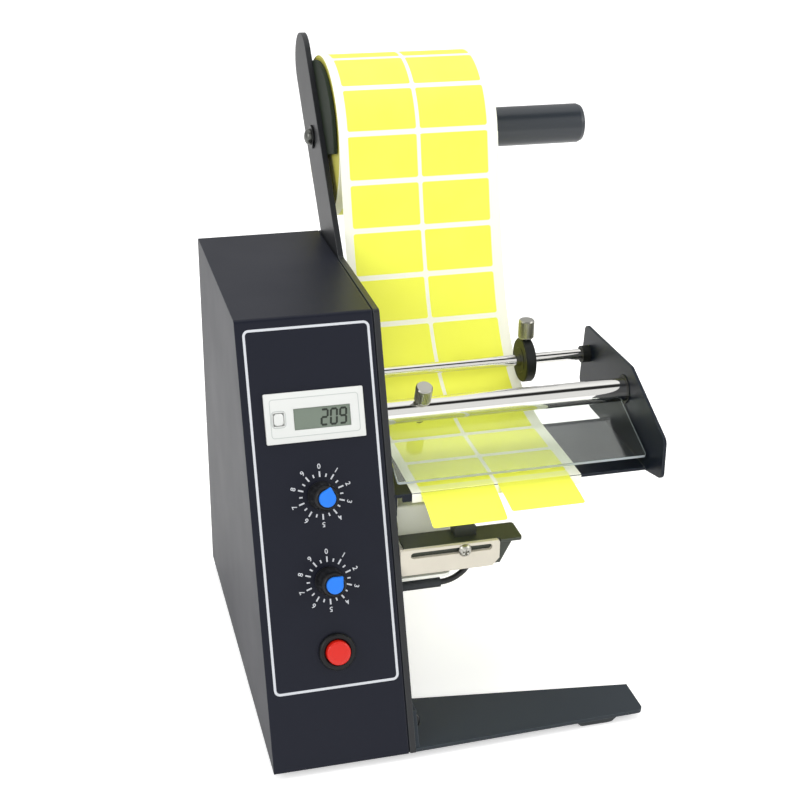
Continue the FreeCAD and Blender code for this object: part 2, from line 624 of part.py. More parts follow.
web_top = "(table_top + sheet_thick)"
run_end = 97.0
table_run = body("table_run", grouped=True)
pad(table_run, "YZ", [[
    (str(run_end), web_top), ("table_front - sheet_thick", web_top),
    ("table_front - sheet_thick", "table_top - lip_depth - sheet_thick"),
    ("take_y", "table_top - lip_depth - sheet_thick"), ("take_y", "table_top - lip_depth"),
    ("table_front", "table_top - lip_depth"), ("table_front", "table_top"),
    (str(run_end), "table_top"),
]], "web_left", "web_width")

# The free span leaves the roll along a tangent and lands on the table; its edges shift sideways,
# because the roll sits further left than the run on the table.
leave_angle = math.radians(12)
leave_radius = amount("roll_radius + 0.1 + sheet_thick / 2")
leave = FreeCAD.Vector(
    amount("roll_left"),
    amount("roll_y") - leave_radius * math.cos(leave_angle),
    amount("roll_z") + leave_radius * math.sin(leave_angle),
)
land = FreeCAD.Vector(amount("web_left"), run_end, amount("table_top + sheet_thick / 2"))
drop = 95.0
glide = 62.0
span = Part.BezierCurve()
span.setPoles([
    leave,
    leave - FreeCAD.Vector(0, math.sin(leave_angle), math.cos(leave_angle)) * drop,
    land + FreeCAD.Vector(0, glide, 0),
    land,
])


def web_section(share):
    """The web's thin rectangular section, square to its path, at a share of the free span."""
    middle = span.value(share)
    forward = span.tangent(share)[0]
    up = FreeCAD.Vector(0, -forward.z, forward.y).normalize() * (amount("sheet_thick") / 2)
    across = FreeCAD.Vector(amount("web_width"), 0, 0)
    return Part.makePolygon(
        [middle + up, middle + up + across, middle - up + across, middle - up, middle + up]
    )


SPAN_STEPS = 20
free_span = document.addObject("Part::Feature", "free_span")
free_span.Shape = Part.makeLoft([web_section(n / SPAN_STEPS) for n in range(SPAN_STEPS + 1)],
                                True, True)
liner_web = document.addObject("Part::MultiFuse", "liner_web")
liner_web.Label = "liner_web"
liner_web.Shapes = [table_run, free_span]
place(liner_web)


def presented_label(name, left, droop):
    """A label whose tail still rests on the web and whose front hangs over the peel edge."""
    item = body(name, grouped=True)
    edge = "table_front - sheet_thick"
    reach = f"(label_length * cos({droop}))"
    fall = f"(label_length * sin({droop}))"
    pad(item, "YZ", [[
        ("table_front + 0.8", web_top), ("table_front + 0.8", f"{web_top} + label_thick"),
        (edge, f"{web_top} + label_thick"),
        (f"{edge} - {reach}", f"{web_top} + label_thick - {fall}"),
        (f"{edge} - {reach} - label_thick * sin({droop})",
         f"{web_top} + label_thick - {fall} - label_thick * cos({droop})"),
        (f"{edge} - label_thick * sin({droop})",
         f"{web_top} + label_thick - label_thick * cos({droop})"),
        (edge, web_top),
    ]], left, "label_width")
    return item


left_label = "(web_left + 4.4)"
group("presented_labels", [
    presented_label("left_label", left_label, "16.7"),
    presented_label("right_label", f"{left_label} + label_width + label_gap", "7.2"),
])

# ---------------------------------------------------------------- sensor

sensor_rail = body("sensor_rail")
pad(sensor_rail, "YZ", [[
    ("38", "rail_bottom"), ("rail_y + 1.5", "rail_bottom"), ("rail_y + 1.5", "rail_top"),
    ("rail_y", "rail_top"), ("rail_y", "rail_bottom + 1.5"), ("38", "rail_bottom + 1.5"),
]], "plate_right", "27")
pad(sensor_rail, "XZ", [rectangle(
    "plate_right", "rail_bottom", "plate_right + 41.8", "rail_top",
)], "rail_y", "1.5")
rail_top_fold = pad(sensor_rail, "YZ", [rectangle(
    "rail_y", "rail_top - 1.5", "rail_y + 12", "rail_top",
)], "plate_right", "41.8")
rounded(sensor_rail, rail_top_fold, "1.4", at_corners("YZ", ("rail_y", "rail_top")))
rail_foot = pad(sensor_rail, "YZ", [rectangle("49", "rail_bottom", "rail_y + 1.5", "rail_top - 4")],
                "plate_right", "1.5")
rounded(sensor_rail, rail_foot, "4", at_corners("XY", ("plate_right + 27", "38")))
pocket(sensor_rail, "YZ", [("54", "100", "2")], "plate_right - 1", "3")

slotted_plate = body("slotted_plate")
slot_low, slot_high = "slot_z - slot_radius", "slot_z + slot_radius"
pad(slotted_plate, "XZ", [[
    ("plate_right", "83"), ("plate_end - 3.5", "83"), ("plate_end", "87"), ("plate_end", "sensor_z"),
    ("plate_right", "sensor_z"),
]], "sensor_y", "1.9")
slotted_tab = pad(slotted_plate, "YZ", [rectangle("sensor_y", "83", "48", "sensor_z - 1.8")],
                  "plate_right", "1.9")
rounded(slotted_plate, slotted_tab, "1.5", at_corners("XZ", ("plate_end", "sensor_z")))
pocket(slotted_plate, "XZ", [rectangle("slot_left", slot_low, "slot_right", slot_high)],
       "sensor_y - 1", "4")
for slot_end in ("slot_left", "slot_right"):
    pocket(slotted_plate, "XZ", [(slot_end, "slot_z", "slot_radius")], "sensor_y - 1", "4")
pocket(slotted_plate, "YZ", [("44", "88", "2")], "plate_right - 1", "4")

flange_y = "(sensor_y + 2)"
bracket_left = "(plate_right + 2.4)"
sensor_bracket = body("sensor_bracket")
pad(sensor_bracket, "XY", [[
    (bracket_left, flange_y), ("plate_end + 0.6", flange_y), ("plate_end + 0.6", "sensor_y"),
    ("sensor_end", "sensor_y"), ("sensor_end", "50"), (bracket_left, "50"),
]], "sensor_z - 1.5", "1.5")
bracket_flange = pad(sensor_bracket, "XZ", [[
    (bracket_left, "83"), ("plate_end + 1", "83"), ("plate_end + 3.5", "88"),
    ("plate_end + 6.5", "sensor_z - 3"),
    ("plate_end + 6.5", "sensor_z - 1.5"), (bracket_left, "sensor_z - 1.5"),
]], flange_y, "1.5")
rounded(sensor_bracket, bracket_flange, "1.5",
        at_corners("XY", ("sensor_end", "sensor_y"), ("sensor_end", "50")))
pocket(sensor_bracket, "XZ", [("screw_x", "slot_z", "screw_radius")], "sensor_y + 1", "6")

turned("sensor_screw", ("screw_x", "0", "slot_z"), None, [
    ("0", "sensor_y - 2.4"), ("2.3", "sensor_y - 2.2"), ("3.25", "sensor_y - 1.1"),
    ("3.25", "sensor_y - 0.1"), ("screw_radius", "sensor_y - 0.1"),
    ("screw_radius", f"{flange_y} + 3"), ("0", f"{flange_y} + 3"),
])

sensor_head = body("sensor_head")
head_block = pad(sensor_head, "XZ", [[
    ("screw_x - 3", "sensor_z"), ("screw_x + 8", "sensor_z"), ("screw_x + 8", "sensor_z + 4.6"),
    ("screw_x + 6.5", "sensor_z + 6"), ("screw_x - 1.5", "sensor_z + 6"),
    ("screw_x - 3", "sensor_z + 4.6"),
]], "42", "8")

group("sensor_plate_screws", [
    turned("slotted_plate_screw", ("0", "44", "88"), ALONG_X, [
        ("0", "box_width - 1"), ("2", "box_width - 1"), ("2", "plate_right + 1.9"),
        ("3.2", "plate_right + 1.9"), ("2.2", "plate_right + 3.6"),
        ("0", "plate_right + 3.6"),
    ], grouped=True),
    turned("rail_screw", ("0", "54", "100"), ALONG_X, [
        ("0", "box_width - 1"), ("2", "box_width - 1"), ("2", "plate_right + 1.5"),
        ("3.2", "plate_right + 1.5"), ("2.2", "plate_right + 3.2"),
        ("0", "plate_right + 3.2"),
    ], grouped=True),
])

turned("cable_sleeve", ("0", "cable_y", "cable_z"), ALONG_X,
       tube("cable_radius", "2.4", "box_width - 4", "plate_right + 23.2"))

# The cable runs out of the box, through its sleeve and up behind the slotted plate.
cable_route = [
    FreeCAD.Vector(amount(x), amount("cable_y"), amount(z))
    for x, z in (("box_width - 9.2", "cable_z"), ("plate_right + 28.8", "cable_z"),
                 ("screw_x + 6", "cable_z + 7.1"), ("screw_x + 6.5", "cable_z + 24.7"))
]


def arc_radius(before, corner, after):
    """The bend radius that uses 0.45 of the shorter run at a corner."""
    arriving, leaving = corner - before, after - corner
    half_turn = arriving.getAngle(leaving) / 2
    return 0.45 * min(arriving.Length, leaving.Length) / math.tan(half_turn)


def route_wire(spots):
    edges = []
    start = spots[0]
    for before, corner, after in zip(spots, spots[1:], spots[2:]):
        half_turn = (corner - before).getAngle(after - corner) / 2
        radius = arc_radius(before, corner, after)
        reach = radius * math.tan(half_turn)
        into = (corner - before).normalize()
        out = (after - corner).normalize()
        first, last = corner - into * reach, corner + out * reach
        inward = (out - into).normalize()
        middle = corner + inward * (radius / math.cos(half_turn) - radius)
        edges.append(Part.makeLine(start, first))
        edges.append(Part.Arc(first, middle, last).toShape())
        start = last
    edges.append(Part.makeLine(start, spots[-1]))
    return Part.Wire(edges)


cable_path = route_wire(cable_route)
cable_end = Part.Wire(Part.makeCircle(amount("cable_radius"), cable_route[0],
                                      FreeCAD.Vector(1, 0, 0)))
sensor_cable = document.addObject("Part::Feature", "sensor_cable")
sensor_cable.Label = "sensor_cable"
sensor_cable.Shape = cable_path.makePipeShell([cable_end], True, True)
place(sensor_cable)

# ---------------------------------------------------------------- leg and feet

outrigger_leg = body("outrigger_leg")
leg_corners = [
    ("plate_right", "0.3"), ("leg_end", "3.4"), ("leg_end", "25.4"), ("plate_right", "41"),
]
pad(outrigger_leg, "XY", [leg_corners], "foot_height", "2")
leg_tab = pad(outrigger_leg, "YZ", [[
    ("0.3", "foot_height"), ("41", "foot_height"), ("41", "foot_height + 18"),
    ("9", "foot_height + 18"),
]], "plate_right", "2")
rounded(outrigger_leg, leg_tab, "3", at_corners("XY", leg_corners[1]))
pocket(outrigger_leg, "YZ", [(y, z, "2") for y, z in leg_screw_spots], "plate_right - 1", "4")
dome_screw("leg_screws", leg_screw_spots, "(plate_right + 2)", "7", "3")

foot_spots = [(x, y) for x in ("14", "box_width - 14.2")
              for y in ("16", "box_depth - 18")]
leg_foot = body("leg_foot", grouped=True)
leg_foot_block = pad(leg_foot, "XZ", [[
    ("leg_foot_x - 11", "foot_height"), ("leg_foot_x - 6.8", "0"), ("leg_foot_x + 6.8", "0"),
    ("leg_foot_x + 11", "foot_height"),
]], "leg_foot_y", "20")
rounded(leg_foot, leg_foot_block, "1.5",
        at_corners("YZ", ("leg_foot_y", "0"), ("leg_foot_y + 20", "0")), kind="Chamfer")
group("rubber_feet", [
    turned(f"foot_{n}", (x, y, "0"), UPRIGHT, [
        ("0", "0"), ("6.5", "0"), ("7.2", "0.6"), ("10.6", "foot_height"), ("0", "foot_height"),
    ], grouped=True)
    for n, (x, y) in enumerate(foot_spots, start=1)
] + [leg_foot])

# ---------------------------------------------------------------- check and write

document.recompute()
members = {member.Name for item in document.Objects if item.TypeId in
           ("Part::Compound", "Part::MultiFuse") for member in item.OutList}
nodes = [item for item in document.Objects
         if item.TypeId in ("PartDesign::Body", "Part::Compound", "Part::MultiFuse", "Part::Feature")
         and item.Name not in members]
for item in document.Objects:
    if {"Invalid", "Error"} & set(item.State):
        raise SystemExit(f"{item.Name} did not recompute: {item.State}")
os.makedirs("parts", exist_ok=True)
for item in nodes:
    if item.Shape.isNull() or not item.Shape.isValid() or item.Shape.Volume <= 0:
        raise SystemExit(f"{item.Label} has no sound shape")
    item.Shape.exportStep(f"parts/{item.Label}.step")
    print(item.Label, len(item.Shape.Solids), round(item.Shape.Volume))
print(len(nodes), "nodes")
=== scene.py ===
import math

import bmesh
import bpy
from mathutils import Matrix, Vector


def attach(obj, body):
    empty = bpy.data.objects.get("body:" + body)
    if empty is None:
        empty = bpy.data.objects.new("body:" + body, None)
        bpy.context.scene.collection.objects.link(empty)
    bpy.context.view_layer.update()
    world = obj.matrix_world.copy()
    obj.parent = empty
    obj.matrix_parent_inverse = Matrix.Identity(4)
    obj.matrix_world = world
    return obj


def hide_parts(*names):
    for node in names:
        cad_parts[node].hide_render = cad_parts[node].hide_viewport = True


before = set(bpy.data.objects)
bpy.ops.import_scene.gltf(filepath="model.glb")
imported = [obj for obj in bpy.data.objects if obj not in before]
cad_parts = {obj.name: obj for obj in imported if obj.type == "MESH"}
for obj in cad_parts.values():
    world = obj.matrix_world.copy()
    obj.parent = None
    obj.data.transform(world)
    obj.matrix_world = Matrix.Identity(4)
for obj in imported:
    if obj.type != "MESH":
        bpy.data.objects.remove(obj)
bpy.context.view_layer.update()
print("nodes in the frame:", len(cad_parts))

# %% [markdown]
# # Places on the machine
# The machine is measured as on a bench: across from the left side of its box, back from the
# front edge of the box, and up from the desk, all in millimetres. Its sloping panel has its own
# measures: across, up the slope, and out from the face. One function and one matrix turn both
# into the frame's metres, so every number below can be read with a ruler in hand.

# %% Bench measures and panel measures
MM = 0.001
BOX_CORNER = Vector((-112.0, -134.43, 0.0))
PANEL_TILT = math.radians(21.82)


def spot(across, back, up):
    """A place in bench millimetres, as a vector in metres."""
    return (Vector((across, back, up)) + BOX_CORNER) * MM


def stand(across, back, up, turn=None):
    """A matrix that puts a piece's own origin on a place, turned as asked."""
    return Matrix.Translation(spot(across, back, up)) @ (turn or Matrix.Identity(4))


TO_THE_RIGHT = Matrix.Rotation(math.radians(90), 4, "Y")
TO_THE_LEFT = Matrix.Rotation(math.radians(-90), 4, "Y")
TO_THE_FRONT = Matrix.Rotation(math.radians(90), 4, "X")
OFF_PANEL = Matrix.Rotation(math.radians(90) - PANEL_TILT, 4, "X")
PANEL = stand(0, 0, 4, OFF_PANEL)


def on_panel(across, up, out=0.0):
    """A matrix for a piece that stands on the sloping panel."""
    return PANEL @ Matrix.Translation(Vector((across, up, out)) * MM)


print("panel foot at", [round(v, 4) for v in PANEL.translation])

# %% [markdown]
# # Camera, floor and lamps
# The camera looks down on the machine from the front left, as a product picture does. A white
# floor and a white sky keep the ground clean. The sky that polished metal sees is a white card in
# front, a dark gap above it and a white ceiling: that gap draws the dark line along a chrome bar.

# %% Camera
camera_data = bpy.data.cameras.new("bench_camera")
camera_data.sensor_width = 36.0
camera_data.lens = 65.249
camera_data.clip_start = 0.05
camera_data.clip_end = 50.0
camera = bpy.data.objects.new("bench_camera", camera_data)
bpy.context.scene.collection.objects.link(camera)
camera.matrix_world = (
    Matrix.Translation(Vector((-199.23, -682.36, 454.89)) * MM)
    @ Matrix.Rotation(-0.261685, 4, "Z")
    @ Matrix.Rotation(math.radians(90) - 0.431018, 4, "X")
    @ Matrix.Rotation(0.013611, 4, "Z")
)
bpy.context.scene.camera = camera
bpy.context.scene.view_settings.view_transform = "Standard"
print("camera at", [round(v, 3) for v in camera.matrix_world.translation])

# %% Colour and node helpers


def colour(code):
    """Turn a written colour, such as 'f6f5da', into the linear one that Blender wants."""
    out = []
    for start in (0, 2, 4):
        value = int(code[start:start + 2], 16) / 255
        out.append(value / 12.92 if value <= 0.04045 else ((value + 0.055) / 1.055) ** 2.4)
    return (*out, 1.0)


def add(tree, kind, inputs=None, **settings):
    """Add one node with its settings; inputs are values, or sockets to link."""
    made = tree.nodes.new(kind)
    for name, value in settings.items():
        setattr(made, name, value)
    for name, value in (inputs or {}).items():
        if isinstance(value, bpy.types.NodeSocket):
            tree.links.new(value, made.inputs[name])
        else:
            made.inputs[name].default_value = value
    return made


MADE = {}


def blank(name):
    """An empty material with its output node, kept under its name."""
    made = MADE[name] = bpy.data.materials.new(name)
    made.use_nodes = True
    made.node_tree.nodes.clear()
    return made, made.node_tree, add(made.node_tree, "ShaderNodeOutputMaterial")


def maths(tree, kind, *values):
    """One step of arithmetic on numbers or sockets."""
    return add(tree, "ShaderNodeMath", dict(enumerate(values)), operation=kind).outputs[0]


def ranged(tree, value, start, end, low=0.0, high=1.0, **settings):
    """Stretch a value's span from start to end over the span from low to high."""
    return add(tree, "ShaderNodeMapRange", {"Value": value, "From Min": start, "From Max": end,
               "To Min": low, "To Max": high}, **settings).outputs[0]


def seen_clearly(tree):
    """A shader's ray facts, and 1 where the camera looks straight or through glass."""
    rays = add(tree, "ShaderNodeLightPath").outputs
    return rays, maths(tree, "MAXIMUM", rays["Is Camera Ray"], rays["Is Transmission Ray"])


# %% Floor and sky
bpy.ops.object.select_all(action="DESELECT")
bpy.ops.mesh.primitive_plane_add(size=12.0, location=(0, 0, 0))
floor = bpy.context.object
floor.name = "studio_floor"

# The floor glows a little for the camera, so it stays white, but not for the machine.
FLOOR_GLOW, GLOW_IN_GLOSS = 0.42, 0.3
floor_paint, tree, out = blank("white_floor_paper")
rays, clear_view = seen_clearly(tree)
in_gloss = maths(tree, "MULTIPLY", rays["Is Glossy Ray"], GLOW_IN_GLOSS)
glow = maths(tree, "MULTIPLY", maths(tree, "MAXIMUM", clear_view, in_gloss), FLOOR_GLOW)
paper = add(tree, "ShaderNodeBsdfDiffuse", {"Color": colour("f2f2f2")})
light = add(tree, "ShaderNodeEmission", {"Color": (1, 1, 1, 1), "Strength": glow})
both = add(tree, "ShaderNodeAddShader", {0: paper.outputs[0], 1: light.outputs[0]})
tree.links.new(both.outputs[0], out.inputs["Surface"])
floor.data.materials.append(floor_paint)

world = bpy.data.worlds.new("studio_sky")
bpy.context.scene.world = world
world.use_nodes = True
tree = world.node_tree
tree.nodes.clear()
out = add(tree, "ShaderNodeOutputWorld")
# Heights and depths are those of the direction that a ray takes, from -1 to 1.
toward = add(tree, "ShaderNodeTexCoord")
way = add(tree, "ShaderNodeSeparateXYZ", {0: toward.outputs["Generated"]}).outputs
soft = {"interpolation_type": "SMOOTHSTEP"}
card = ranged(tree, way["Z"], 0.7, 0.78, 1.0, 0.0, **soft)
ceiling = ranged(tree, way["Z"], 0.92, 0.96, **soft)
front_sky = ranged(tree, maths(tree, "MAXIMUM", card, ceiling), 0.0, 1.0, 0.03, 0.9)
far_sky = ranged(tree, way["Z"], 0.2, 0.95, 0.55, 1.1)
behind = ranged(tree, way["Y"], -0.16, 0.04, **soft)
level = add(tree, "ShaderNodeMix", {"Factor": behind, "A": front_sky, "B": far_sky})
clear_view = seen_clearly(tree)[1]
shown = add(tree, "ShaderNodeMix", {"Factor": clear_view, "A": level.outputs[0], "B": 1.0})
sky = add(tree, "ShaderNodeBackground", {"Color": (1, 1, 1, 1), "Strength": shown.outputs[0]})
tree.links.new(sky.outputs[0], out.inputs["Surface"])
print("floor and sky ready")

# %% Lamps


def softbox(name, place, aim, width, watts):
    """A square lamp that looks at a point, like a softbox on a stand."""
    data = bpy.data.lights.new(name, "AREA")
    data.shape = "RECTANGLE"
    data.size = data.size_y = width
    data.energy = watts
    lamp = bpy.data.objects.new(name, data)
    bpy.context.scene.collection.objects.link(lamp)
    lamp.location = place
    lamp.rotation_euler = (Vector(aim) - Vector(place)).to_track_quat("-Z", "Y").to_euler()
    return lamp


# The first two don't show in polished faces, where the sky's cards do their work.
for lamp in (softbox("top_softbox", (0.1, 0.1, 1.5), (0, 0, 0.1), 1.2, 8.8),
             softbox("front_softbox", (-0.3, -1.3, 0.85), (0, 0, 0.12), 0.5, 4.4)):
    lamp.visible_glossy = False
softbox("left_softbox", (-1.2, -0.5, 0.9), (0, 0, 0.1), 0.6, 4.6)
softbox("right_softbox", (1.2, -0.6, 0.8), (0, 0, 0.1), 0.7, 4.2)
print("lamps:", len(bpy.data.lights))

# %% [markdown]
# # Finishes
# Each finish starts from the real substance and how its face was made. Painted sheet steel has a
# fine orange-peel skin, and a painted highlight makes its corners paler. Turned and plated
# metal is told apart by its roughness. A pattern's size is worked out from its real size.

# %% Painted sheet metal
OWN = "Object"


def grain(tree, size_mm, detail=2.0):
    """Fine noise whose lumps measure about size_mm, fixed to the piece."""
    place = add(tree, "ShaderNodeTexCoord")
    return add(tree, "ShaderNodeTexNoise", {"Vector": place.outputs[OWN],
               "Scale": 1000.0 / size_mm, "Detail": detail}).outputs[0]


def mixed(tree, kind, inputs, **settings):
    """A colour mix, whose sockets are told apart by number."""
    made = tree.nodes.new("ShaderNodeMix")
    made.data_type = "RGBA"
    made.blend_type = kind
    for number, value in inputs.items():
        if isinstance(value, bpy.types.NodeSocket):
            tree.links.new(value, made.inputs[number])
        else:
            made.inputs[number].default_value = value
    return made.outputs[2]


def around(tree, value, middle, reach):
    """A noise value turned into one that drifts about a middle."""
    return ranged(tree, value, 0.0, 1.0, middle - reach, middle + reach)


def rounded(tree, radius_mm, samples=4):
    """The normal of a piece whose sharp edges look rounded by so many millimetres."""
    return add(tree, "ShaderNodeBevel", {"Radius": radius_mm * MM}, samples=samples).outputs[0]


def relief(tree, strength, depth_mm, height, normal=None):
    """A bump of real depth, laid over a rounded normal if one is given."""
    inputs = {"Strength": strength, "Distance": depth_mm * MM, "Height": height}
    if normal is not None:
        inputs["Normal"] = normal
    return add(tree, "ShaderNodeBump", inputs).outputs[0]


def dress(tree, out, base, rough, normal, more=None):
    """Close a material with its one principled shader."""
    skin = add(tree, "ShaderNodeBsdfPrincipled", {"Base Color": base, "Roughness": rough,
               "Normal": normal, **(more or {})})
    tree.links.new(skin.outputs[0], out.inputs["Surface"])


def coated(name, body, edge, rough, peel=0.7, strength=0.12, specular=0.3):
    """Powder coat or anodising: a dark coat with a painted highlight on its corners, over a fine
    skin.
    """
    made, tree, out = blank(name)
    soft_edge = rounded(tree, 0.7, 8)
    shape = add(tree, "ShaderNodeNewGeometry")
    flat = add(tree, "ShaderNodeVectorMath", {0: soft_edge, 1: shape.outputs["True Normal"]},
               operation="DOT_PRODUCT")
    # The edge colour is mixed in where the rounded normal turns from the true one: a painted
    # highlight on every corner.
    corner = ranged(tree, flat.outputs["Value"], 0.995, 0.86, 0.0, 0.5)
    base = mixed(tree, "MIX", {0: corner, 6: colour(body), 7: colour(edge)})
    dress(tree, out, base, around(tree, grain(tree, 45.0, 3.0), rough, 0.05),
          relief(tree, strength, 0.1, grain(tree, peel), soft_edge),
          {"Specular IOR Level": specular})
    return made


# Powder coat, sprayed and baked: a satin black with a fine orange peel of about 0.7 mm.
coated("black_powder_coat", "121521", "3c4046", 0.42, specular=0.24)
# Anodised sheet and tube: dyed aluminium, smoother than paint and a little blue.
coated("black_anodised", "101620", "464c54", 0.36, peel=0.5, strength=0.06, specular=0.21)
# The roll's arm is sprayed with the same powder on a bright blasted face, so it shines more.
arm_powder_coat = coated("arm_powder_coat", "17191c", "4c5052", 0.4, specular=0.55)
# Dull powder coat on the thin side guide; its green tint is a painted reflection of the yellow
# labels beside it.
guide_powder_coat = coated("guide_powder_coat", "1f281c", "454b40", 0.6, specular=0.16)
# The leg takes the box's powder coat painted a shade greyer and bluer: painted reflection of the
# bright room on its flat top.
leg_powder_coat = coated("leg_powder_coat", "222a31", "4c5458", 0.42, specular=0.34)
# The roll's tube is polished before it is dyed, so it shines more and shows long bright lines.
black_bright_tube = coated("black_bright_tube", "22282f", "5c6268", 0.3, peel=0.5,
                           strength=0.04, specular=0.65)
# Sensor bracket and rail: a greyer dip, nearer to gun metal.
grey_anodised = coated("grey_anodised", "33382f", "6c7268", 0.4, peel=0.5, strength=0.06,
                       specular=0.5)
print("sheet finishes ready")

# %% Metals


def metal(name, tone, rough, line_mm=6.0, spread=0.06, bumps=0.1, bare=1.0):
    """Bare or plated metal; line_mm is the size of its brush, lathe or crystal marks."""
    made, tree, out = blank(name)
    lines = grain(tree, line_mm, 3.0)
    shade = ranged(tree, lines, 0.0, 1.0, max(rough - spread, 0.02), rough + spread)
    dress(tree, out, colour(tone), shade, relief(tree, bumps, 0.05, lines, rounded(tree, 0.2)),
          {"Metallic": bare})
    return made


# Chrome plate on ground rod: nearly a mirror.
metal("chromed_steel", "e9e8e4", 0.05, spread=0.01, bumps=0.0)
# Turned steel: fine lathe lines, brighter than its oxide.
machined_steel = metal("machined_steel", "b9b8b0", 0.3, line_mm=0.25)
# Zinc plate on sheet: pale, slightly blotchy, satin.
metal("zinc_steel", "eef0e6", 0.5, line_mm=2.5, spread=0.1, bare=0.15)
# Black oxide screws: near black with an oily shine.
black_oxide_steel = metal("black_oxide_steel", "3c3d3d", 0.34, line_mm=0.5)
# Black oxide rubbed to grey on the dome of the spindle bolt.
rubbed_oxide_steel = metal("rubbed_oxide_steel", "6e6f6b", 0.36, line_mm=0.5)
# Plain ground shaft steel of the take-up spindle.
metal("steel_shaft", "a9aaa8", 0.22, line_mm=0.4)
# Free-cutting brass: warm yellow, lathe lines.
metal("brass", "c9a456", 0.28, line_mm=0.3)
# Sintered bearing bronze: brown, oily and slightly porous.
metal("bearing_bronze", "8e6a3e", 0.42, line_mm=0.3)
print("metals ready")

# %% Plastics, rubber and board


def moulded(name, tone, rough, skin_mm=0.6, strength=0.05, soft_edge=0.25, vary=0.0,
            specular=0.5):
    """Moulded plastic or rubber with a faint skin; vary drifts its tone a little."""
    made, tree, out = blank(name)
    wide = grain(tree, 12.0, 2.0)
    base = mixed(tree, "MULTIPLY", {0: 1.0, 6: colour(tone), 7: around(tree, wide, 1.0, vary)})
    bump = relief(tree, strength, 0.08, grain(tree, skin_mm), rounded(tree, soft_edge))
    dress(tree, out, base, around(tree, wide, rough, 0.03), bump,
          {"Specular IOR Level": specular})
    return made


# ABS instrument case: bright white, fine satin skin.
white_abs = moulded("white_abs", "d2d4d1", 0.38, 0.5, 0.04)
# Glossy black knob plastic.
gloss_black_plastic = moulded("gloss_black_plastic", "0e0f11", 0.4, 0.8, 0.02, specular=0.35)
# Satin black acetal of the guide disc, bosses and bushes.
black_acetal = moulded("black_acetal", "181a18", 0.5, 0.4, 0.12, specular=0.3)
# Sensor head: dark grey moulding.
grey_plastic = moulded("grey_plastic", "2c3029", 0.42, 0.5, 0.08)
# Cap inserts of the dials: bright blue.
blue_plastic = moulded("blue_plastic", "1474e0", 0.3, 0.8, 0.02)
# Push button: opaque signal red.
red_plastic = moulded("red_plastic", "cb1a0b", 0.3, 0.8, 0.02)
# Engraving sheet in cream, behind the slot.
moulded("cream_plate", "d0cabb", 0.42, 0.6, 0.05, vary=0.04)
# Cable sheath and its sleeve.
moulded("black_pvc", "17181a", 0.34, 0.8, 0.05)
# Rubber feet: dull, a little dusty.
moulded("black_rubber", "2b2f32", 0.7, 0.5, 0.2, vary=0.1)
# Circuit board: green mask over glass cloth.
moulded("circuit_board", "1c5a3a", 0.35, 0.5, 0.1, vary=0.15)
moulded("component_plastic", "26272a", 0.5, 0.5, 0.08)
# Spiral cardboard core: brown and fibrous.
moulded("cardboard", "a98a62", 0.85, 0.35, 0.4, vary=0.12)
print("plastics ready")

# %% Display window
# A reflective display behind a clear window: grey-green and smooth.
lcd_glass = moulded("lcd_glass", "6d786c", 0.12, 3.0, 0.01, vary=0.03)
# The dark segments of the display.
lcd_segment = moulded("lcd_segment", "20281f", 0.25, 3.0, 0.01)
# Screen-printed ink: matt white, a hair above the panel.
white_ink = moulded("white_ink", "c3c6cb", 0.55, 0.3, 0.05, soft_edge=0.02)

# %% Acrylic


def acrylic(name):
    """Cast acrylic sheet: clear, with polished edges and a trace of haze."""
    made, tree, out = blank(name)
    haze = ranged(tree, grain(tree, 30.0, 3.0), 0.0, 1.0, 0.0, 0.02)
    clear = add(tree, "ShaderNodeBsdfPrincipled", {"Base Color": colour("eaf0ea"),
                "Roughness": 0.02, "IOR": 1.49, "Transmission Weight": 1.0,
                "Specular IOR Level": 0.35})
    dust = add(tree, "ShaderNodeBsdfDiffuse", {"Color": colour("e8eeee")})
    both = add(tree, "ShaderNodeMixShader", {0: haze, 1: clear.outputs[0], 2: dust.outputs[0]})
    tree.links.new(both.outputs[0], out.inputs["Surface"])
    return made


clear_acrylic = acrylic("clear_acrylic")
# The sawn and flamed rim of the sheet gathers light and reads as a pale line.
acrylic_rim = moulded("acrylic_rim", "a3adb0", 0.2, 0.8, 0.05)
print("acrylic ready")

# %% [markdown]
# # Label stock
# The roll carries two columns of labels on a pale backing, one row each inch. The labels are cut
# through to the backing, so their corners are round and a thin line of backing shows all round.
# The pattern is drawn from the piece's own UV map, which holds millimetres across the web and
# along it, so labels follow the web over the roll and down to the table without a break.

# %% Label stock material
WEB_WIDTH, ROW_PITCH, ROW_START = 87.0, 25.4, -284.9
LABEL_WIDTH, LABEL_CORNER, ROW_MARGIN = 37.2, 1.3, 1.4
COLUMN_MIDDLE, COLUMN_OFFSET = 42.9, 19.6
LABELS_END = -4.0
UV_STEP = 100.0
ROLL_Y, ROLL_Z, ROLL_RADIUS = 222.3, 252.9, 43.6
TAKE_UP_Y, TAKE_UP_Z = 95.0, 104.0


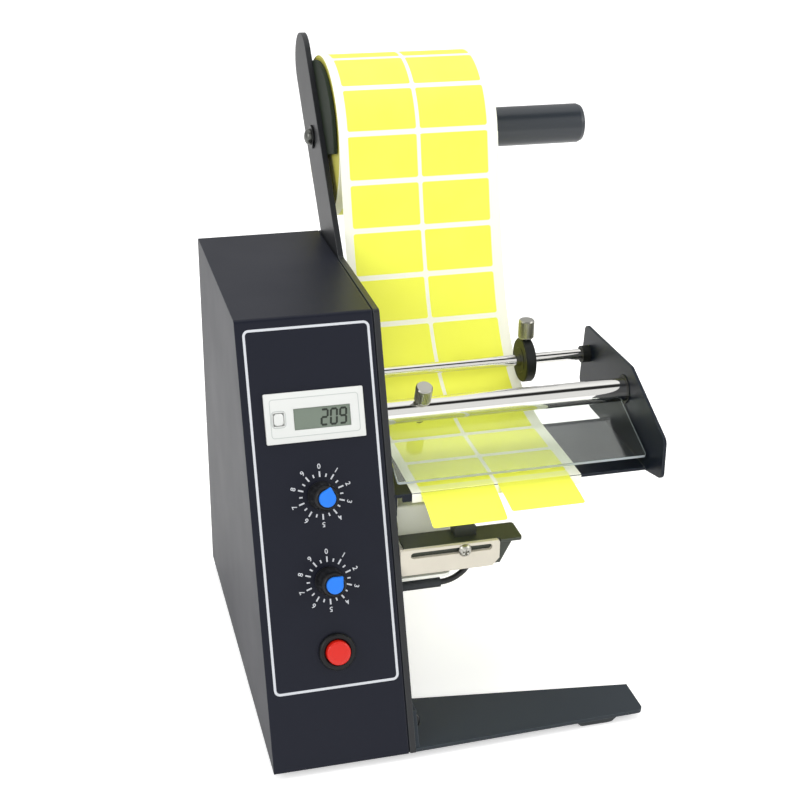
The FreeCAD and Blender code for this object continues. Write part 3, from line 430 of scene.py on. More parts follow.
def label_stock(name):
    """Yellow labels on pale backing, drawn in the web's own millimetres."""
    made, tree, out = blank(name)
    place = add(tree, "ShaderNodeUVMap", uv_map="web")
    parts = add(tree, "ShaderNodeSeparateXYZ", {0: place.outputs[0]})
    across = maths(tree, "MULTIPLY", parts.outputs["X"], UV_STEP)
    along = maths(tree, "MULTIPLY", parts.outputs["Y"], UV_STEP)

    def away(value, middle):
        return maths(tree, "ABSOLUTE", maths(tree, "SUBTRACT", value, middle))

    column = away(away(across, COLUMN_MIDDLE), COLUMN_OFFSET)
    row = maths(tree, "SUBTRACT", along, ROW_START)
    row = away(maths(tree, "FLOORED_MODULO", row, ROW_PITCH), ROW_PITCH / 2)
    # How far a place lies past the straight sides of its label, measured round the corner.
    wide = maths(tree, "SUBTRACT", column, LABEL_WIDTH / 2 - LABEL_CORNER)
    tall = maths(tree, "SUBTRACT", row, ROW_PITCH / 2 - ROW_MARGIN - LABEL_CORNER)
    squares = []
    for past in (wide, tall):
        past = maths(tree, "MAXIMUM", past, 0.0)
        squares.append(maths(tree, "MULTIPLY", past, past))
    reach = maths(tree, "SQRT", maths(tree, "ADD", *squares))
    label = ranged(tree, reach, LABEL_CORNER + 0.12, LABEL_CORNER - 0.12)
    mask = maths(tree, "MULTIPLY", label, maths(tree, "LESS_THAN", along, LABELS_END))
    ink = mixed(tree, "MIX", {0: grain(tree, 18.0, 3.0), 6: colour("f7fa4c"),
                7: colour("f9fb5a")})
    # Close to the peel edge the backing takes a yellow light from the labels above it.
    lifted = maths(tree, "MULTIPLY", ranged(tree, along, -9.0, -7.0),
                   ranged(tree, column, 19.0, 18.2, 0.0, 0.8))
    backing = mixed(tree, "MIX", {0: lifted, 6: colour("f8f8e8"), 7: colour("f0f47c")})
    base = mixed(tree, "MIX", {0: mask, 6: backing, 7: ink})
    height = maths(tree, "ADD", mask, maths(tree, "MULTIPLY", grain(tree, 0.5), 0.06))
    dress(tree, out, base, 0.5, relief(tree, 0.4, 0.1, height))
    return made


yellow_label_stock = label_stock("yellow_label_stock")


def plain_paper(name, tone):
    """Glassine backing or coated label paper in one tone."""
    made, tree, out = blank(name)
    drift = ranged(tree, grain(tree, 14.0, 3.0), 0.0, 1.0, 0.94, 1.03)
    base = mixed(tree, "MULTIPLY", {0: 1.0, 6: colour(tone), 7: drift})
    dress(tree, out, base, 0.48, relief(tree, 0.15, 0.05, grain(tree, 0.5)))
    return made


yellow_label_face = plain_paper("yellow_label_face", "f4f650")
white_liner = plain_paper("white_liner", "f1f0e2")


def wound_edge(name, tone, dark, centre, pitch_mm):
    """The side of a wound roll: thin rings of paper edges round its centre."""
    made, tree, out = blank(name)
    place = add(tree, "ShaderNodeTexCoord")
    moved = add(tree, "ShaderNodeVectorMath", {0: place.outputs[OWN], 1: centre},
                operation="SUBTRACT")
    parts = add(tree, "ShaderNodeSeparateXYZ", {0: moved.outputs[0]})
    flat = add(tree, "ShaderNodeCombineXYZ", {"Y": parts.outputs["Y"], "Z": parts.outputs["Z"]})
    far = add(tree, "ShaderNodeVectorMath", {0: flat.outputs[0]}, operation="LENGTH")
    ring = maths(tree, "MULTIPLY", far.outputs["Value"], 1000.0 / pitch_mm)
    layer = add(tree, "ShaderNodeTexNoise", {"Vector": place.outputs[OWN], "W": ring,
                "Scale": 30.0, "Detail": 1.0}, noise_dimensions="4D")
    thread = maths(tree, "PINGPONG", ring, 1.0)
    tone_at = maths(tree, "ADD", maths(tree, "MULTIPLY", thread, 0.35),
                    maths(tree, "MULTIPLY", layer.outputs[0], 0.65))
    base = mixed(tree, "MIX", {0: tone_at, 6: colour(dark), 7: colour(tone)})
    dress(tree, out, base, 0.6, relief(tree, 0.3, 0.1, thread))
    return made


roll_edge = wound_edge("label_roll_edge", "e9e46a", "a8a03c", spot(116.3, ROLL_Y, ROLL_Z), 0.9)
liner_edge = wound_edge("liner_roll_edge", "e6e4d2", "b4b19c",
                        spot(122.1, TAKE_UP_Y, TAKE_UP_Z), 0.6)
print("label stock ready")

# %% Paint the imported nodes
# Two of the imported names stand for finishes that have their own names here.
ALIASES = {"black_plastic": "black_acetal", "yellow_label_stock": "yellow_label_face"}
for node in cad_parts.values():
    for holder in node.material_slots:
        packed = holder.material.name.split(".")[0] if holder.material else None
        finish = MADE.get(ALIASES.get(packed, packed))
        if finish:
            holder.material = finish
        else:
            print("no finish for", node.name, packed)
for name, finish in (("spindle_tube", black_bright_tube), ("sensor_bracket", grey_anodised),
                     ("sensor_head", grey_plastic), ("outrigger_leg", leg_powder_coat),
                     ("main_side_plate", arm_powder_coat)):
    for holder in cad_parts[name].material_slots:
        holder.material = finish
print("nodes painted:", len(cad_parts))

# %% [markdown]
# # Modelling helpers
# Round pieces are drawn up from a circle, ring by ring, as on a lathe. Flat pieces start from a
# plane whose corners are rounded before it is pulled up to its thickness. At the end of each
# piece its place goes into its mesh, and it is told which body carries it.

# %% Lathe, plate and finish
def deselect():
    if bpy.context.object and bpy.context.object.mode != "OBJECT":
        bpy.ops.object.mode_set(mode="OBJECT")
    bpy.ops.object.select_all(action="DESELECT")


def edit():
    """Into edit mode with everything selected."""
    bpy.ops.object.mode_set(mode="EDIT")
    bpy.ops.mesh.select_all(action="SELECT")


def pull_up(rise):
    """Draw what is selected up by so many millimetres."""
    bpy.ops.mesh.extrude_region_move(TRANSFORM_OT_translate={"value": (0, 0, rise * MM)})


def close_up():
    """Turn all faces outward, leave edit mode and hand the piece over."""
    bpy.ops.mesh.select_all(action="SELECT")
    bpy.ops.mesh.normals_make_consistent(inside=False)
    bpy.ops.object.mode_set(mode="OBJECT")
    return bpy.context.object


def lathe(rings, sides=64, closed=True):
    """Draw a round piece up its own axis; rings are (radius, height) in millimetres."""
    deselect()
    radius, height = rings[0]
    bpy.ops.mesh.primitive_circle_add(vertices=sides, radius=radius * MM, location=(0, 0, 0),
                                      fill_type="NGON" if closed else "NOTHING")
    edit()
    bpy.ops.transform.translate(value=(0, 0, height * MM))
    for next_radius, next_height in rings[1:]:
        pull_up(next_height - height)
        ratio = next_radius / radius
        if abs(ratio - 1) > 1e-6:
            bpy.ops.transform.resize(value=(ratio, ratio, 1), center_override=(0, 0, 0),
                                     constraint_axis=(True, True, False))
        radius, height = next_radius, next_height
    bpy.ops.mesh.select_all(action="SELECT")
    bpy.ops.mesh.remove_doubles(threshold=1e-7)
    return close_up()


def plate(width, depth, thick, corner=0.0, steps=4):
    """A flat piece on its own origin, corners rounded before it is pulled up."""
    deselect()
    bpy.ops.mesh.primitive_plane_add(size=1.0, location=(0, 0, 0))
    edit()
    bpy.ops.transform.resize(value=(width * MM, depth * MM, 1))
    if corner:
        bpy.ops.mesh.bevel(offset=corner * MM, segments=steps, affect="VERTICES")
    if thick:
        bpy.ops.mesh.select_all(action="SELECT")
        pull_up(thick)
        return close_up()
    bpy.ops.object.mode_set(mode="OBJECT")
    return bpy.context.object


def pick_faces(test):
    """In edit mode, select the faces that pass a test and no others."""
    bpy.ops.mesh.select_all(action="DESELECT")
    mesh = bmesh.from_edit_mesh(bpy.context.object.data)
    for face in mesh.faces:
        if test(face):
            face.select_set(True)
    bmesh.update_edit_mesh(bpy.context.object.data)


def thicken(piece, thick, offset, second=0):
    """Give a sheet its thickness; its back and rim may take the second finish."""
    skin = piece.modifiers.new("skin", "SOLIDIFY")
    skin.thickness = thick * MM
    skin.offset = offset
    skin.material_offset = skin.material_offset_rim = second
    bpy.ops.object.modifier_apply(modifier=skin.name)


def soften(piece, width, steps=2, angle=35.0):
    """Round the sharp edges of the piece by a bevel that is applied at once."""
    bpy.context.view_layer.objects.active = piece
    bevel = piece.modifiers.new("edge", "BEVEL")
    bevel.width = width * MM
    bevel.segments = steps
    bevel.limit_method = "ANGLE"
    bevel.angle_limit = math.radians(angle)
    bpy.ops.object.modifier_apply(modifier=bevel.name)
    return piece


def join(pieces):
    """Make one piece of several."""
    deselect()
    for piece in pieces:
        piece.select_set(True)
    bpy.context.view_layer.objects.active = pieces[0]
    if len(pieces) > 1:
        bpy.ops.object.join()
    return pieces[0]


def settle(piece, name, body, finish, place=None, instead_of=(), smooth=35.0):
    """Put the place into the mesh, give the finish and the carrying body, and say so."""
    deselect()
    piece.name = piece.data.name = name
    piece.matrix_world = (place or Matrix.Identity(4)) @ piece.matrix_world
    piece.select_set(True)
    bpy.context.view_layer.objects.active = piece
    bpy.ops.object.transform_apply(location=True, rotation=True, scale=True)
    if finish:
        piece.data.materials.clear()
        piece.data.materials.append(finish)
    if smooth:
        bpy.ops.object.shade_smooth_by_angle(angle=math.radians(smooth))
    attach(piece, body)
    if instead_of:
        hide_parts(*instead_of)
    print("made", name, len(piece.data.polygons), "faces")
    return piece


def two_finishes(piece, first, second, takes_second=None):
    """Give a piece two finishes; the test tells which faces take the second."""
    piece.data.materials.clear()
    piece.data.materials.append(first)
    piece.data.materials.append(second)
    if takes_second:
        for face in piece.data.polygons:
            face.material_index = 1 if takes_second(face) else 0


def is_side(face):
    """Whether a face of a roll looks along its axle."""
    return abs(face.normal.x) > 0.8


# %% [markdown]
# # The label web
# The web is one strip: it leaves the front of the roll, falls in a long bow, lies along the
# table, turns sharply round the table's front edge, where stiff labels part from it, and comes
# back underneath to the take-up spindle. A strip is a flat grid whose stations are laid along
# that line, so the same distances along it serve the label pattern.

# %% Stations along the web
LEAVE_ANGLE = math.radians(12)
WEB_ON_ROLL, WEB_ON_TABLE = 72.8, 78.6
PEEL_Y, TABLE_TOP, WEB_LOW = 45.9, 121.5, 116.0
WEB_SKIN = 0.22
BOW_POINTS, BOW_DROP, BOW_RUN = 48, 95, 62
TURN_RADIUS, TURN_STEP = 1.3, 15


def web_stations():
    """Stations (left edge, back, up) of the web's label side, from roll to take-up."""
    outer = ROLL_RADIUS + 0.25
    leave = Vector((WEB_ON_ROLL, ROLL_Y - outer * math.cos(LEAVE_ANGLE),
                    ROLL_Z + outer * math.sin(LEAVE_ANGLE)))
    land = Vector((WEB_ON_TABLE, 97.0, TABLE_TOP + WEB_SKIN))
    drop = leave - Vector((0, math.sin(LEAVE_ANGLE), math.cos(LEAVE_ANGLE))) * BOW_DROP
    flat = land + Vector((0, BOW_RUN, 0))
    line = []
    for n in range(BOW_POINTS + 1):
        t = n / BOW_POINTS
        line.append((1 - t) ** 3 * leave + 3 * (1 - t) ** 2 * t * drop
                    + 3 * (1 - t) * t * t * flat + t ** 3 * land)
    line += [Vector((WEB_ON_TABLE, y, TABLE_TOP + WEB_SKIN)) for y in (85, 72, 60, 50, 47.2)]
    # Round the peel edge in two quarter turns, one above the other.
    for centre_z, begun, first in ((TABLE_TOP + WEB_SKIN - TURN_RADIUS, 0, 1),
                                   (WEB_LOW + TURN_RADIUS, 90, 0)):
        for n in range(first, 7):
            a = math.radians(begun + TURN_STEP * n)
            line.append(Vector((WEB_ON_TABLE, PEEL_Y + TURN_RADIUS * (1 - math.sin(a)),
                                centre_z + TURN_RADIUS * math.cos(a))))
    line += [Vector((WEB_ON_TABLE, y, WEB_LOW)) for y in (56, 68, 82, 95)]
    return line


stations = web_stations()
lengths = [0.0]
for before, after in zip(stations, stations[1:]):
    lengths.append(lengths[-1] + (after.yz - before.yz).length)
peel_at = lengths[next(n for n, p in enumerate(stations) if p.y < PEEL_Y + 0.01)]
LEAVE_ALONG = -peel_at
print("web from roll to peel edge: %.1f mm" % peel_at)

# %% The strip itself
deselect()
columns = 5
bpy.ops.mesh.primitive_grid_add(x_subdivisions=columns - 1, y_subdivisions=len(stations) - 1,
                                size=1.0, location=(0, 0, 0))
web = bpy.context.object
ordered = sorted(web.data.vertices, key=lambda v: (-round(v.co.y, 5), v.co.x))
measures = {}
for n, vertex in enumerate(ordered):
    station, column = divmod(n, columns)
    share = column / (columns - 1)
    point = stations[station]
    vertex.co = spot(point.x + share * WEB_WIDTH, point.y, point.z)
    measures[vertex.index] = (share * WEB_WIDTH, LEAVE_ALONG + lengths[station])
uv = web.data.uv_layers.active
uv.name = "web"
for loop in web.data.loops:
    across, along = measures[loop.vertex_index]
    uv.data[loop.index].uv = (across / UV_STEP, along / UV_STEP)
top_face = min(web.data.polygons, key=lambda f: abs(f.center.y - spot(0, 72, 0).y)
               + (0 if f.center.z > spot(0, 0, 118).z else 9))
if top_face.normal.z < 0:
    web.data.flip_normals()
thicken(web, 0.2, -1, second=1)
settle(web, "label_web", "machine_body", None, instead_of=("liner_web",),
       smooth=40)
two_finishes(web, yellow_label_stock, white_liner)

# %% [markdown]
# # The roll of labels
# The roll is a ring of wound web on its core. Its round face carries the same pattern on from
# the strip, measured by the angle from the place where the web leaves; its two sides show the
# edges of the windings.

# %% The wound roll
roll = lathe([(13.1, 0.4), (14.0, 0), (ROLL_RADIUS - 0.3, 0), (ROLL_RADIUS, 0.3),
              (ROLL_RADIUS, WEB_WIDTH - 0.3), (ROLL_RADIUS - 0.3, WEB_WIDTH),
              (14.0, WEB_WIDTH), (13.1, WEB_WIDTH - 0.4), (13.1, 0.4)], 144, closed=False)
settle(roll, "wound_labels", "label_roll_body", None,
       place=stand(WEB_ON_ROLL, ROLL_Y, ROLL_Z, TO_THE_RIGHT), instead_of=("label_roll",),
       smooth=40)


def wrap_web(piece, radius):
    """Give the wound roll the web's millimetres, across and round, as its UV map."""
    while piece.data.uv_layers:
        piece.data.uv_layers.remove(piece.data.uv_layers[0])
    layer = piece.data.uv_layers.new(name="web")
    hub = spot(WEB_ON_ROLL, ROLL_Y, ROLL_Z)
    for face in piece.data.polygons:
        middle = face.center - hub
        facing = math.atan2(middle.z, -middle.y)
        facing = LEAVE_ANGLE + (facing - LEAVE_ANGLE) % math.tau
        for corner in face.loop_indices:
            point = piece.data.vertices[piece.data.loops[corner].vertex_index].co - hub
            angle = math.atan2(point.z, -point.y)
            angle += math.tau * round((facing - angle) / math.tau)
            along = LEAVE_ALONG - (angle - LEAVE_ANGLE) * radius
            layer.data[corner].uv = (point.x / MM / UV_STEP, along / UV_STEP)


wrap_web(roll, ROLL_RADIUS + 0.3)
two_finishes(roll, yellow_label_stock, roll_edge, lambda face: is_side(face) or (
    (face.center - spot(0, ROLL_Y, ROLL_Z)).yz.length <= (ROLL_RADIUS - 0.4) * MM))

# %% The wound backing on the take-up
wound = lathe([(7.05, 0), (10.7, 0), (10.9, 0.2), (10.9, WEB_WIDTH - 0.2),
               (10.7, WEB_WIDTH), (7.05, WEB_WIDTH), (7.05, 0)], 72, closed=False)
settle(wound, "used_backing", "take_up", None,
       place=stand(WEB_ON_TABLE, TAKE_UP_Y, TAKE_UP_Z, TO_THE_RIGHT),
       instead_of=("wound_liner",), smooth=40)
two_finishes(wound, white_liner, liner_edge, is_side)

# %% [markdown]
# # The two presented labels
# At the peel edge the backing turns back and the labels run straight on. They stick out over
# nothing, held by their rear edge, and droop a little under their own weight.

# %% Presented labels
LABEL_REACH, LABEL_BOW = 23.6, 0.25


def presented(left, droop):
    """A label that hangs out over the peel edge and droops by so many degrees."""
    piece = plate(LABEL_WIDTH, LABEL_REACH + 0.6, 0.0, corner=LABEL_CORNER)
    edit()
    for n in range(1, 8):
        bpy.ops.mesh.select_all(action="SELECT")
        bpy.ops.mesh.bisect(plane_co=(0, (n / 8 - 0.5) * LABEL_REACH * MM, 0),
                            plane_no=(0, 1, 0))
    bpy.ops.object.mode_set(mode="OBJECT")
    for vertex in piece.data.vertices:
        far = LABEL_REACH / 2 - vertex.co.y / MM
        vertex.co.z = (-math.tan(math.radians(droop)) * far * (0.55 + 0.45 * far / LABEL_REACH)
                       - LABEL_BOW * (vertex.co.x / MM / 17.8) ** 2) * MM
    thicken(piece, 0.15, 1)
    piece.matrix_world = stand(left + LABEL_WIDTH / 2, PEEL_Y + 1.5 - LABEL_REACH / 2,
                               TABLE_TOP + 0.3)
    return piece


labels = join([presented(82.9, 16.7), presented(122.1, 7.2)])
settle(labels, "presented_pair", "machine_body", yellow_label_face,
       instead_of=("presented_labels",), smooth=30)

# %% [markdown]
# # The front panel's print
# A white line with round corners frames the controls, and each dial has a ring of marks with
# plain numbers from 0 to 9. The marks are screen-printed ink, so they are a film of a few
# hundredths of a millimetre on the panel's face.

# %% Frame line
INK = 0.05


def outline(width, depth, corner, line, name, finish, place):
    """A printed line in the shape of a rectangle with round corners."""
    piece = plate(width, depth, 0.0, corner=corner, steps=6)
    edit()
    bpy.ops.mesh.inset(thickness=line * MM)
    bpy.ops.mesh.delete(type="FACE")
    bpy.ops.mesh.select_all(action="SELECT")
    pull_up(INK)
    close_up()
    return settle(piece, name, "machine_body", finish, place, smooth=0)


outline(61.2, 174.5, 3.0, 1.2, "panel_frame_line", white_ink, on_panel(34.1, 124.25))

# %% Dial marks
DIAL_X, LENGTH_V, SPEED_V = 34.4, 130.3, 89.4
# Degrees from mark to mark, and the marks' inner and outer radius and width.
MARK_STEP, LONG_MARK, SHORT_MARK = 18, (8.9, 11.6, 0.75), (9.1, 10.7, 0.7)
DIGIT_SIZE, DIGIT_RADIUS = 3.4, 13.9


def dial_marks(name, up):
    """Ten numbers on a full circle, a long line under each and a short one between."""
    made = []
    for n in range(20):
        turn = Matrix.Rotation(-math.radians(MARK_STEP * n), 4, "Z")
        inner, outer, wide = LONG_MARK if n % 2 == 0 else SHORT_MARK
        mark = plate(wide, outer - inner, INK)
        mark.matrix_world = turn @ Matrix.Translation((0, (inner + outer) / 2 * MM, 0))
        made.append(mark)
        if n % 2 == 0:
            deselect()
            bpy.ops.object.text_add(location=(0, 0, 0))
            digit = bpy.context.object
            digit.data.body = str(n // 2)
            digit.data.size = DIGIT_SIZE * MM
            digit.data.extrude = INK / 2 * MM
            digit.data.offset = 0.045 * MM
            digit.data.align_x = "CENTER"
            digit.data.align_y = "CENTER"
            bpy.ops.object.convert(target="MESH")
            digit = bpy.context.object
            digit.matrix_world = turn @ Matrix.Translation(
                (0, DIGIT_RADIUS * MM, INK / 2 * MM))
            made.append(digit)
    piece = join(made)
    return settle(piece, name, "machine_body", white_ink, on_panel(DIAL_X, up), smooth=0)


dial_marks("length_dial_marks", LENGTH_V)
dial_marks("speed_dial_marks", SPEED_V)

# %% [markdown]
# # The dials
# A collet knob is a slightly tapered cap over the shaft: a sharp foot, a long side with a fine
# hollow just above it, and a rounded shoulder. Its colour insert is drop-shaped and points at
# the setting.

# %% Knobs and their inserts
KNOB = [(5.5, 0.8), (6.75, 0.8), (6.9, 0.95), (6.9, 2.1), (6.72, 2.3), (6.72, 2.7), (6.8, 2.9),
        (6.3, 12.0), (6.1, 13.2), (5.7, 14.2), (5.2, 14.8), (4.9, 15.1), (4.65, 15.2),
        (4.5, 14.9)]
POINTER_HALF = math.radians(46)
for side, up, body, setting in (("length", LENGTH_V, "length_dial", 19.5),
                                ("speed", SPEED_V, "speed_dial", 47.5)):
    knob = lathe(KNOB, 72)
    settle(knob, f"{side}_dial_knob", body, gloss_black_plastic, on_panel(DIAL_X, up),
           instead_of=(f"{side}_knob",))
    insert = lathe([(4.0, 14.95), (4.0, 16.1), (3.8, 16.4), (3.4, 16.5)], 64)
    for vertex in insert.data.vertices:
        lean = math.atan2(vertex.co.x, vertex.co.y)
        if abs(lean) < POINTER_HALF:
            stretch = min(1 / math.cos(POINTER_HALF - abs(lean)), 1.4)
            vertex.co.x *= stretch
            vertex.co.y *= stretch
    turn = Matrix.Rotation(-math.radians(setting), 4, "Z")
    settle(insert, f"{side}_dial_insert", body, blue_plastic, on_panel(DIAL_X, up) @ turn,
           instead_of=(f"{side}_knob_cap",))

# %% [markdown]
# # Push button
# The lit switch is a red cap in a black threaded collar. The cap is slightly domed and sunk in
# a well, so a dark ring shows round it.

# %% Button and collar
BUTTON_X, BUTTON_V = 35.5, 54.8
button = lathe([(5.85, -5), (5.85, 4.3), (5.6, 4.9), (5.1, 5.25), (3.5, 5.36), (1.5, 5.4)], 64)
settle(button, "red_push_cap", "power_push", red_plastic, on_panel(BUTTON_X, BUTTON_V),
       instead_of=("power_button",))
collar = lathe([(8.9, 0), (9.0, 0.1), (9.0, 1.5), (8.8, 1.9), (8.2, 2.4), (6.7, 2.4),
                (6.1, 1.9), (6.1, -7.9), (8.0, -7.9), (8.0, 0), (8.9, 0)], 72, closed=False)
case = lathe([(7.6, -24), (8.0, -23.6), (8.0, -8.0), (7.8, -7.95)], 64)
settle(join([collar, case]), "switch_collar", "machine_body", gloss_black_plastic,
       on_panel(BUTTON_X, BUTTON_V), instead_of=("power_switch_body",))

# %% [markdown]
# # The counter
# A small panel counter: a white frame with a field edged by a grey line of painted shade, a window
# sunk to the display, and a reset button in its own ring. The display shows a plain count in dark
# bars.

# %% Counter frame
CX, CV = 34.4, 168.7
# The window's and the key's wells: left, low, right, high and depth about the face's middle.
WELLS = ((-10.2, -6.2, 17.2, 4.0, 0.75), (-20.1, -3.5, -14.9, 2.7, 1.7))
front = plate(48, 24, 1.8, corner=0.6, steps=3)
bpy.ops.object.mode_set(mode="EDIT")
for left, low, right, high, deep in WELLS:
    for normal, cuts in (((1, 0, 0), (left, right)), ((0, 1, 0), (low, high))):
        for cut in cuts:
            bpy.ops.mesh.select_all(action="SELECT")
            bpy.ops.mesh.bisect(plane_co=(cut * MM, cut * MM, 0), plane_no=normal)
    pick_faces(lambda face: face.normal.z > 0.9 and face.calc_center_median().z > 1.7 * MM
               and left < face.calc_center_median().x / MM < right
               and low < face.calc_center_median().y / MM < high)
    pull_up(-deep)
bpy.ops.object.mode_set(mode="OBJECT")
soften(front, 0.22, 2, 40)
rear = plate(44.6, 22.0, 26.0, corner=1.0)
rear.matrix_world = Matrix.Translation((0, 0, -26.5 * MM))
soften(rear, 0.4)
settle(join([front, rear]), "counter_frame", "machine_body", white_abs, on_panel(CX, CV),
       instead_of=("counter_housing",))

# %% Display and its count
glass = plate(27.2, 10.0, 0.25, corner=0.1)
settle(glass, "counter_window", "machine_body", lcd_glass, on_panel(37.9, 167.6, 1.06),
       instead_of=("counter_display",))

# A seven-bar figure: bar names, and which bars each figure lights.
BARS = {"top": (0, 1, 0), "middle": (0, 0, 0), "low": (0, -1, 0), "top_left": (-1, 0.5, 1),
        "top_right": (1, 0.5, 1), "low_left": (-1, -0.5, 1), "low_right": (1, -0.5, 1)}
FIGURES = {
    "2": ("top", "top_right", "middle", "low_left", "low"),
    "0": ("top", "top_left", "top_right", "low_left", "low_right", "low"),
    "9": ("top", "top_left", "top_right", "middle", "low_right", "low"),
}
figure_wide, figure_tall, figure_pitch, bar_wide = 2.9, 7.2, 4.5, 1.0
SLANT = Matrix(((1, 0.09, 0, 0), (0, 1, 0, 0), (0, 0, 1, 0), (0, 0, 0, 1)))
bars = []
for place, figure in enumerate("209"):
    for bar in FIGURES[figure]:
        x, y, upright = BARS[bar]
        long = figure_tall / 2 - 0.35 if upright else figure_wide - 0.25
        piece = plate(long, bar_wide, 0.04, corner=0.3, steps=1)
        turned = Matrix.Rotation(math.radians(90), 4, "Z") if upright else Matrix.Identity(4)
        middle = Vector((x * figure_wide / 2 + place * figure_pitch, y * figure_tall / 2, 0))
        piece.data.transform(SLANT @ Matrix.Translation(middle * MM) @ turned)
        bars.append(piece)
settle(join(bars), "counter_figures", "machine_body", lcd_segment,
       on_panel(39.0, 167.5, 1.32), smooth=0)

# %% Reset button and the lines round it
reset = plate(4.6, 5.6, 1.6, corner=1.5, steps=5)
soften(reset, 0.5, 3)
RX, RV = 16.9, 168.3
settle(reset, "reset_push_key", "reset_push", white_abs, on_panel(RX, RV, 1.0),
       instead_of=("counter_reset_button",))
grey_ink_and_shade_line = moulded("grey_ink_and_shade_line", "b3b8b5", 0.5, 0.3, 0.05, soft_edge=0.02)
outline(7.0, 8.2, 1.8, 0.4, "reset_ring_line", grey_ink_and_shade_line, on_panel(RX, RV, 1.8))
# The grey line round the face is painted shade, standing in for the shadow of a shallow step.
outline(43.0, 18.6, 1.6, 0.35, "counter_face_line", grey_ink_and_shade_line, on_panel(CX, CV, 1.8))

# %% [markdown]
# # Knurled thumbscrews
# Two steel thumbscrews hold the edge guide and the press cover. Their heads have straight
# knurling: a ring of narrow side faces, every second one sunk a little, between two chamfers.

# %% Thumbscrews
ROD_Y, ROD_Z = 129.0, 149.5
BAR_Y, BAR_Z = 79.3, 150.0


def thumbscrew(head_low, head_high, radius, shank, shank_low):
    """A thumbscrew up its own axis, heights in millimetres from its origin."""
    deselect()
    bpy.ops.mesh.primitive_cylinder_add(vertices=60, radius=radius * MM,
                                        depth=(head_high - head_low - 1.4) * MM,
                                        location=(0, 0, (head_low + head_high) / 2 * MM))
    head = bpy.context.object
    bpy.ops.object.mode_set(mode="EDIT")
    mesh = bmesh.from_edit_mesh(head.data)
    mesh.faces.ensure_lookup_table()
    sides = sorted((f for f in mesh.faces if abs(f.normal.z) < 0.5),
                   key=lambda f: math.atan2(f.normal.y, f.normal.x))
    for face in mesh.faces:
        face.select_set(False)
    for face in sides[::2]:
        face.select_set(True)
    bmesh.update_edit_mesh(head.data)
    bpy.ops.mesh.inset(thickness=0.07 * MM, depth=-0.2 * MM, use_individual=True)
    for wanted, shift in ((1, 0.7), (-1, -0.7)):
        pick_faces(lambda face: face.normal.z * wanted > 0.9)
        pull_up(shift)
        bpy.ops.transform.resize(value=(0.87, 0.87, 1))
    bpy.ops.object.mode_set(mode="OBJECT")
    stem = lathe([(shank - 0.2, shank_low), (shank, shank_low + 0.3), (shank, head_low + 0.1)], 32)
    return join([head, stem])


guide_screw = thumbscrew(12.6, 23.0, 4.25, 2.0, 3.1)
settle(guide_screw, "guide_thumb_screw", "edge_guide_screw", machined_steel,
       stand(163.2, ROD_Y, ROD_Z), instead_of=("edge_guide_thumbscrew",))
COVER_TURN = Matrix.Rotation(math.radians(21.7), 4, "X")
cover_screw = thumbscrew(6.6, 16.1, 4.25, 2.0, -9.0)
settle(cover_screw, "cover_thumb_screw", "cover_screw_body", machined_steel,
       stand(91.5, BAR_Y, BAR_Z, COVER_TURN), instead_of=("cover_thumbscrew",))

# %% [markdown]
# # The press cover
# A strip of clear acrylic hangs under the press bar and slopes down to the web. Its sawn edges
# are polished, so they catch the light as thin bright lines.

# %% Press cover
cover = plate(128.4, 46.8, 1.8, corner=1.5, steps=4)
soften(cover, 0.2, 2)
settle(cover, "clear_press_cover", "press_cover_assembly", clear_acrylic,
       stand(135.0, BAR_Y, BAR_Z, COVER_TURN)
       @ Matrix.Translation(Vector((0, -16.8, -7.8)) * MM),
       instead_of=("press_cover",), smooth=0)
flat_way = COVER_TURN.to_3x3() @ Vector((0, 0, 1))
two_finishes(cover, clear_acrylic, acrylic_rim,
             lambda face: abs(face.normal.dot(flat_way)) <= 0.9)

# %% [markdown]
# # The edge guide
# A black disc slides on the thin rod and keeps the web's right edge. It is turned from bar, so
# its rim has small chamfers and its face a shallow turned step.

# %% Guide disc
disc = lathe([(3.1, 0), (6.6, 0), (6.9, 0.25), (11.4, 0.25), (12.0, 0.9), (12.0, 5.1),
              (11.4, 5.75), (6.9, 5.75), (6.6, 6.0), (3.1, 6.0), (3.1, 0)], 96, closed=False)
settle(disc, "guide_disc", "edge_guide", black_acetal, stand(160.2, ROD_Y, ROD_Z, TO_THE_RIGHT),
       instead_of=("edge_guide_disc",))

# %% [markdown]
# # Screws
# Dome-head screws have a pressed drive: a six-sided socket for a key on most of them, and a cross
# on the small screw of the sensor. The dome is drawn up ring by ring, then down into a round
# well, and the well's rings are drawn into the shape of the drive.

# %% Screws with a drive
def drive_screw(head, high, reach, shank, drive="hexagon"):
    """A dome-head screw up its own axis, its head on the zero plane."""
    well = head * 0.52
    screw = lathe([(shank - 0.3, -reach), (shank, 0.3 - reach), (shank, 0), (head - 0.1, 0),
                   (head, 0.1), (head, high * 0.3), (head * 0.86, high * 0.55),
                   (head * 0.68, high * 0.8), (well, high * 0.9), (well, high * 0.4)], 48)
    for vertex in screw.data.vertices:
        if vertex.co.z < high * 0.35 * MM or abs(vertex.co.xy.length - well * MM) > 1e-6:
            continue
        angle = math.atan2(vertex.co.y, vertex.co.x)
        if drive == "hexagon":
            sixth = (angle + math.radians(30)) % math.radians(60) - math.radians(30)
            share = math.cos(math.radians(30)) / math.cos(sixth)
        else:
            side = max(min(abs(math.sin(angle)), abs(math.cos(angle))), 0.01)
            share = min(1.0, 0.27 / side)
        vertex.co.x *= share
        vertex.co.y *= share
    return screw


def screw_set(name, node, finish, shape, places, body="machine_body"):
    """One node's screws as one piece, all of one shape."""
    made = []
    for place in places:
        screw = drive_screw(*shape)
        screw.matrix_world = place
        made.append(screw)
    return settle(join(made), name, body, finish, instead_of=(node,))


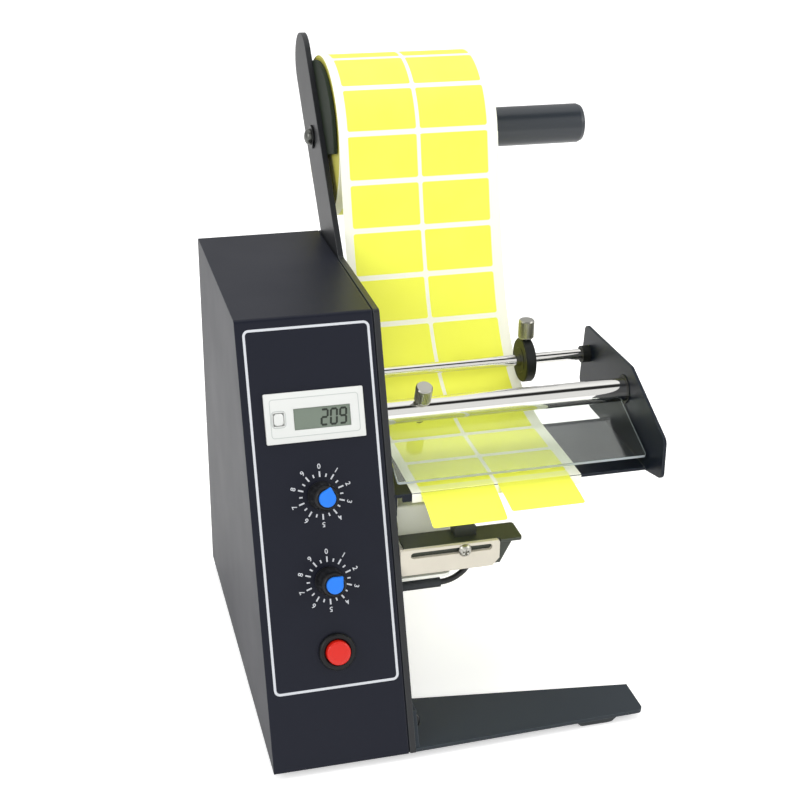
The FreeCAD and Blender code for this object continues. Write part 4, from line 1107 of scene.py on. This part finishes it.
screw_set("table_screw_pair", "table_screws", machined_steel,
          (3.4, 2.2, 5.5, 2.0), [stand(71.7, y, 114, TO_THE_RIGHT) for y in (55, 72)])
screw_set("leg_screw_pair", "leg_screws", black_oxide_steel,
          (3.0, 2.2, 7.0, 2.0), [stand(72.2, y, 15, TO_THE_RIGHT) for y in (10.5, 32)])
screw_set("guide_rod_end_screw", "guide_rod_screw", black_oxide_steel,
          (3.8, 2.2, 11.0, 2.0), [stand(201.3, ROD_Y, ROD_Z, TO_THE_RIGHT)])
screw_set("sensor_cross_screw", "sensor_screw", machined_steel,
          (3.25, 2.3, 4.0, 1.5, "cross"), [stand(102.5, 34.4, 93.7, TO_THE_FRONT)],
          "sensor_carriage")

# %% [markdown]
# # Spindle end and side guide
# The spindle's bolt has a plain dome on a small washer. The side guide is a thin disc between the
# arm and the roll, cut flat below and cut off behind along the arm's back edge.

# %% Bolt, washer and guide
WASHER_LEFT, PLATE_RIGHT = 66.0, 70.2
bolt = lathe([(2.7, -18.2), (3.0, -17.9), (3.0, 0), (4.3, 0), (4.4, 0.1), (4.4, 0.7), (4.2, 1.5),
              (3.6, 2.3), (2.6, 2.9), (1.3, 3.3)], 48)
settle(bolt, "spindle_end_bolt", "machine_body", rubbed_oxide_steel,
       stand(WASHER_LEFT, ROLL_Y, ROLL_Z, TO_THE_LEFT), instead_of=("spindle_bolt",))
washer = lathe([(3.0, 0), (6.2, 0), (6.4, 0.2), (6.4, 1.0), (6.2, 1.2), (3.0, 1.2), (3.0, 0)],
               64, closed=False)
settle(washer, "spindle_end_washer", "machine_body", black_oxide_steel,
       stand(WASHER_LEFT, ROLL_Y, ROLL_Z, TO_THE_RIGHT), instead_of=("spindle_washer",))
side_guide = lathe([(11.0, 0), (40.8, 0), (41.0, 0.2), (41.0, 1.8), (40.8, 2.0), (11.0, 2.0),
                    (11.0, 0)], 144, closed=False)
bpy.ops.object.mode_set(mode="EDIT")
for side_angle, reach in ((-14.7, 9.6), (48.65, 15.5)):
    bpy.ops.mesh.select_all(action="SELECT")
    outward = Vector((math.cos(math.radians(side_angle)), math.sin(math.radians(side_angle)), 0))
    bpy.ops.mesh.bisect(plane_co=outward * reach * MM, plane_no=outward, use_fill=True,
                        clear_outer=True)
bpy.ops.object.mode_set(mode="OBJECT")
settle(side_guide, "cut_side_guide", "machine_body", guide_powder_coat,
       stand(PLATE_RIGHT, ROLL_Y, ROLL_Z, TO_THE_RIGHT), instead_of=("roll_side_guide",))
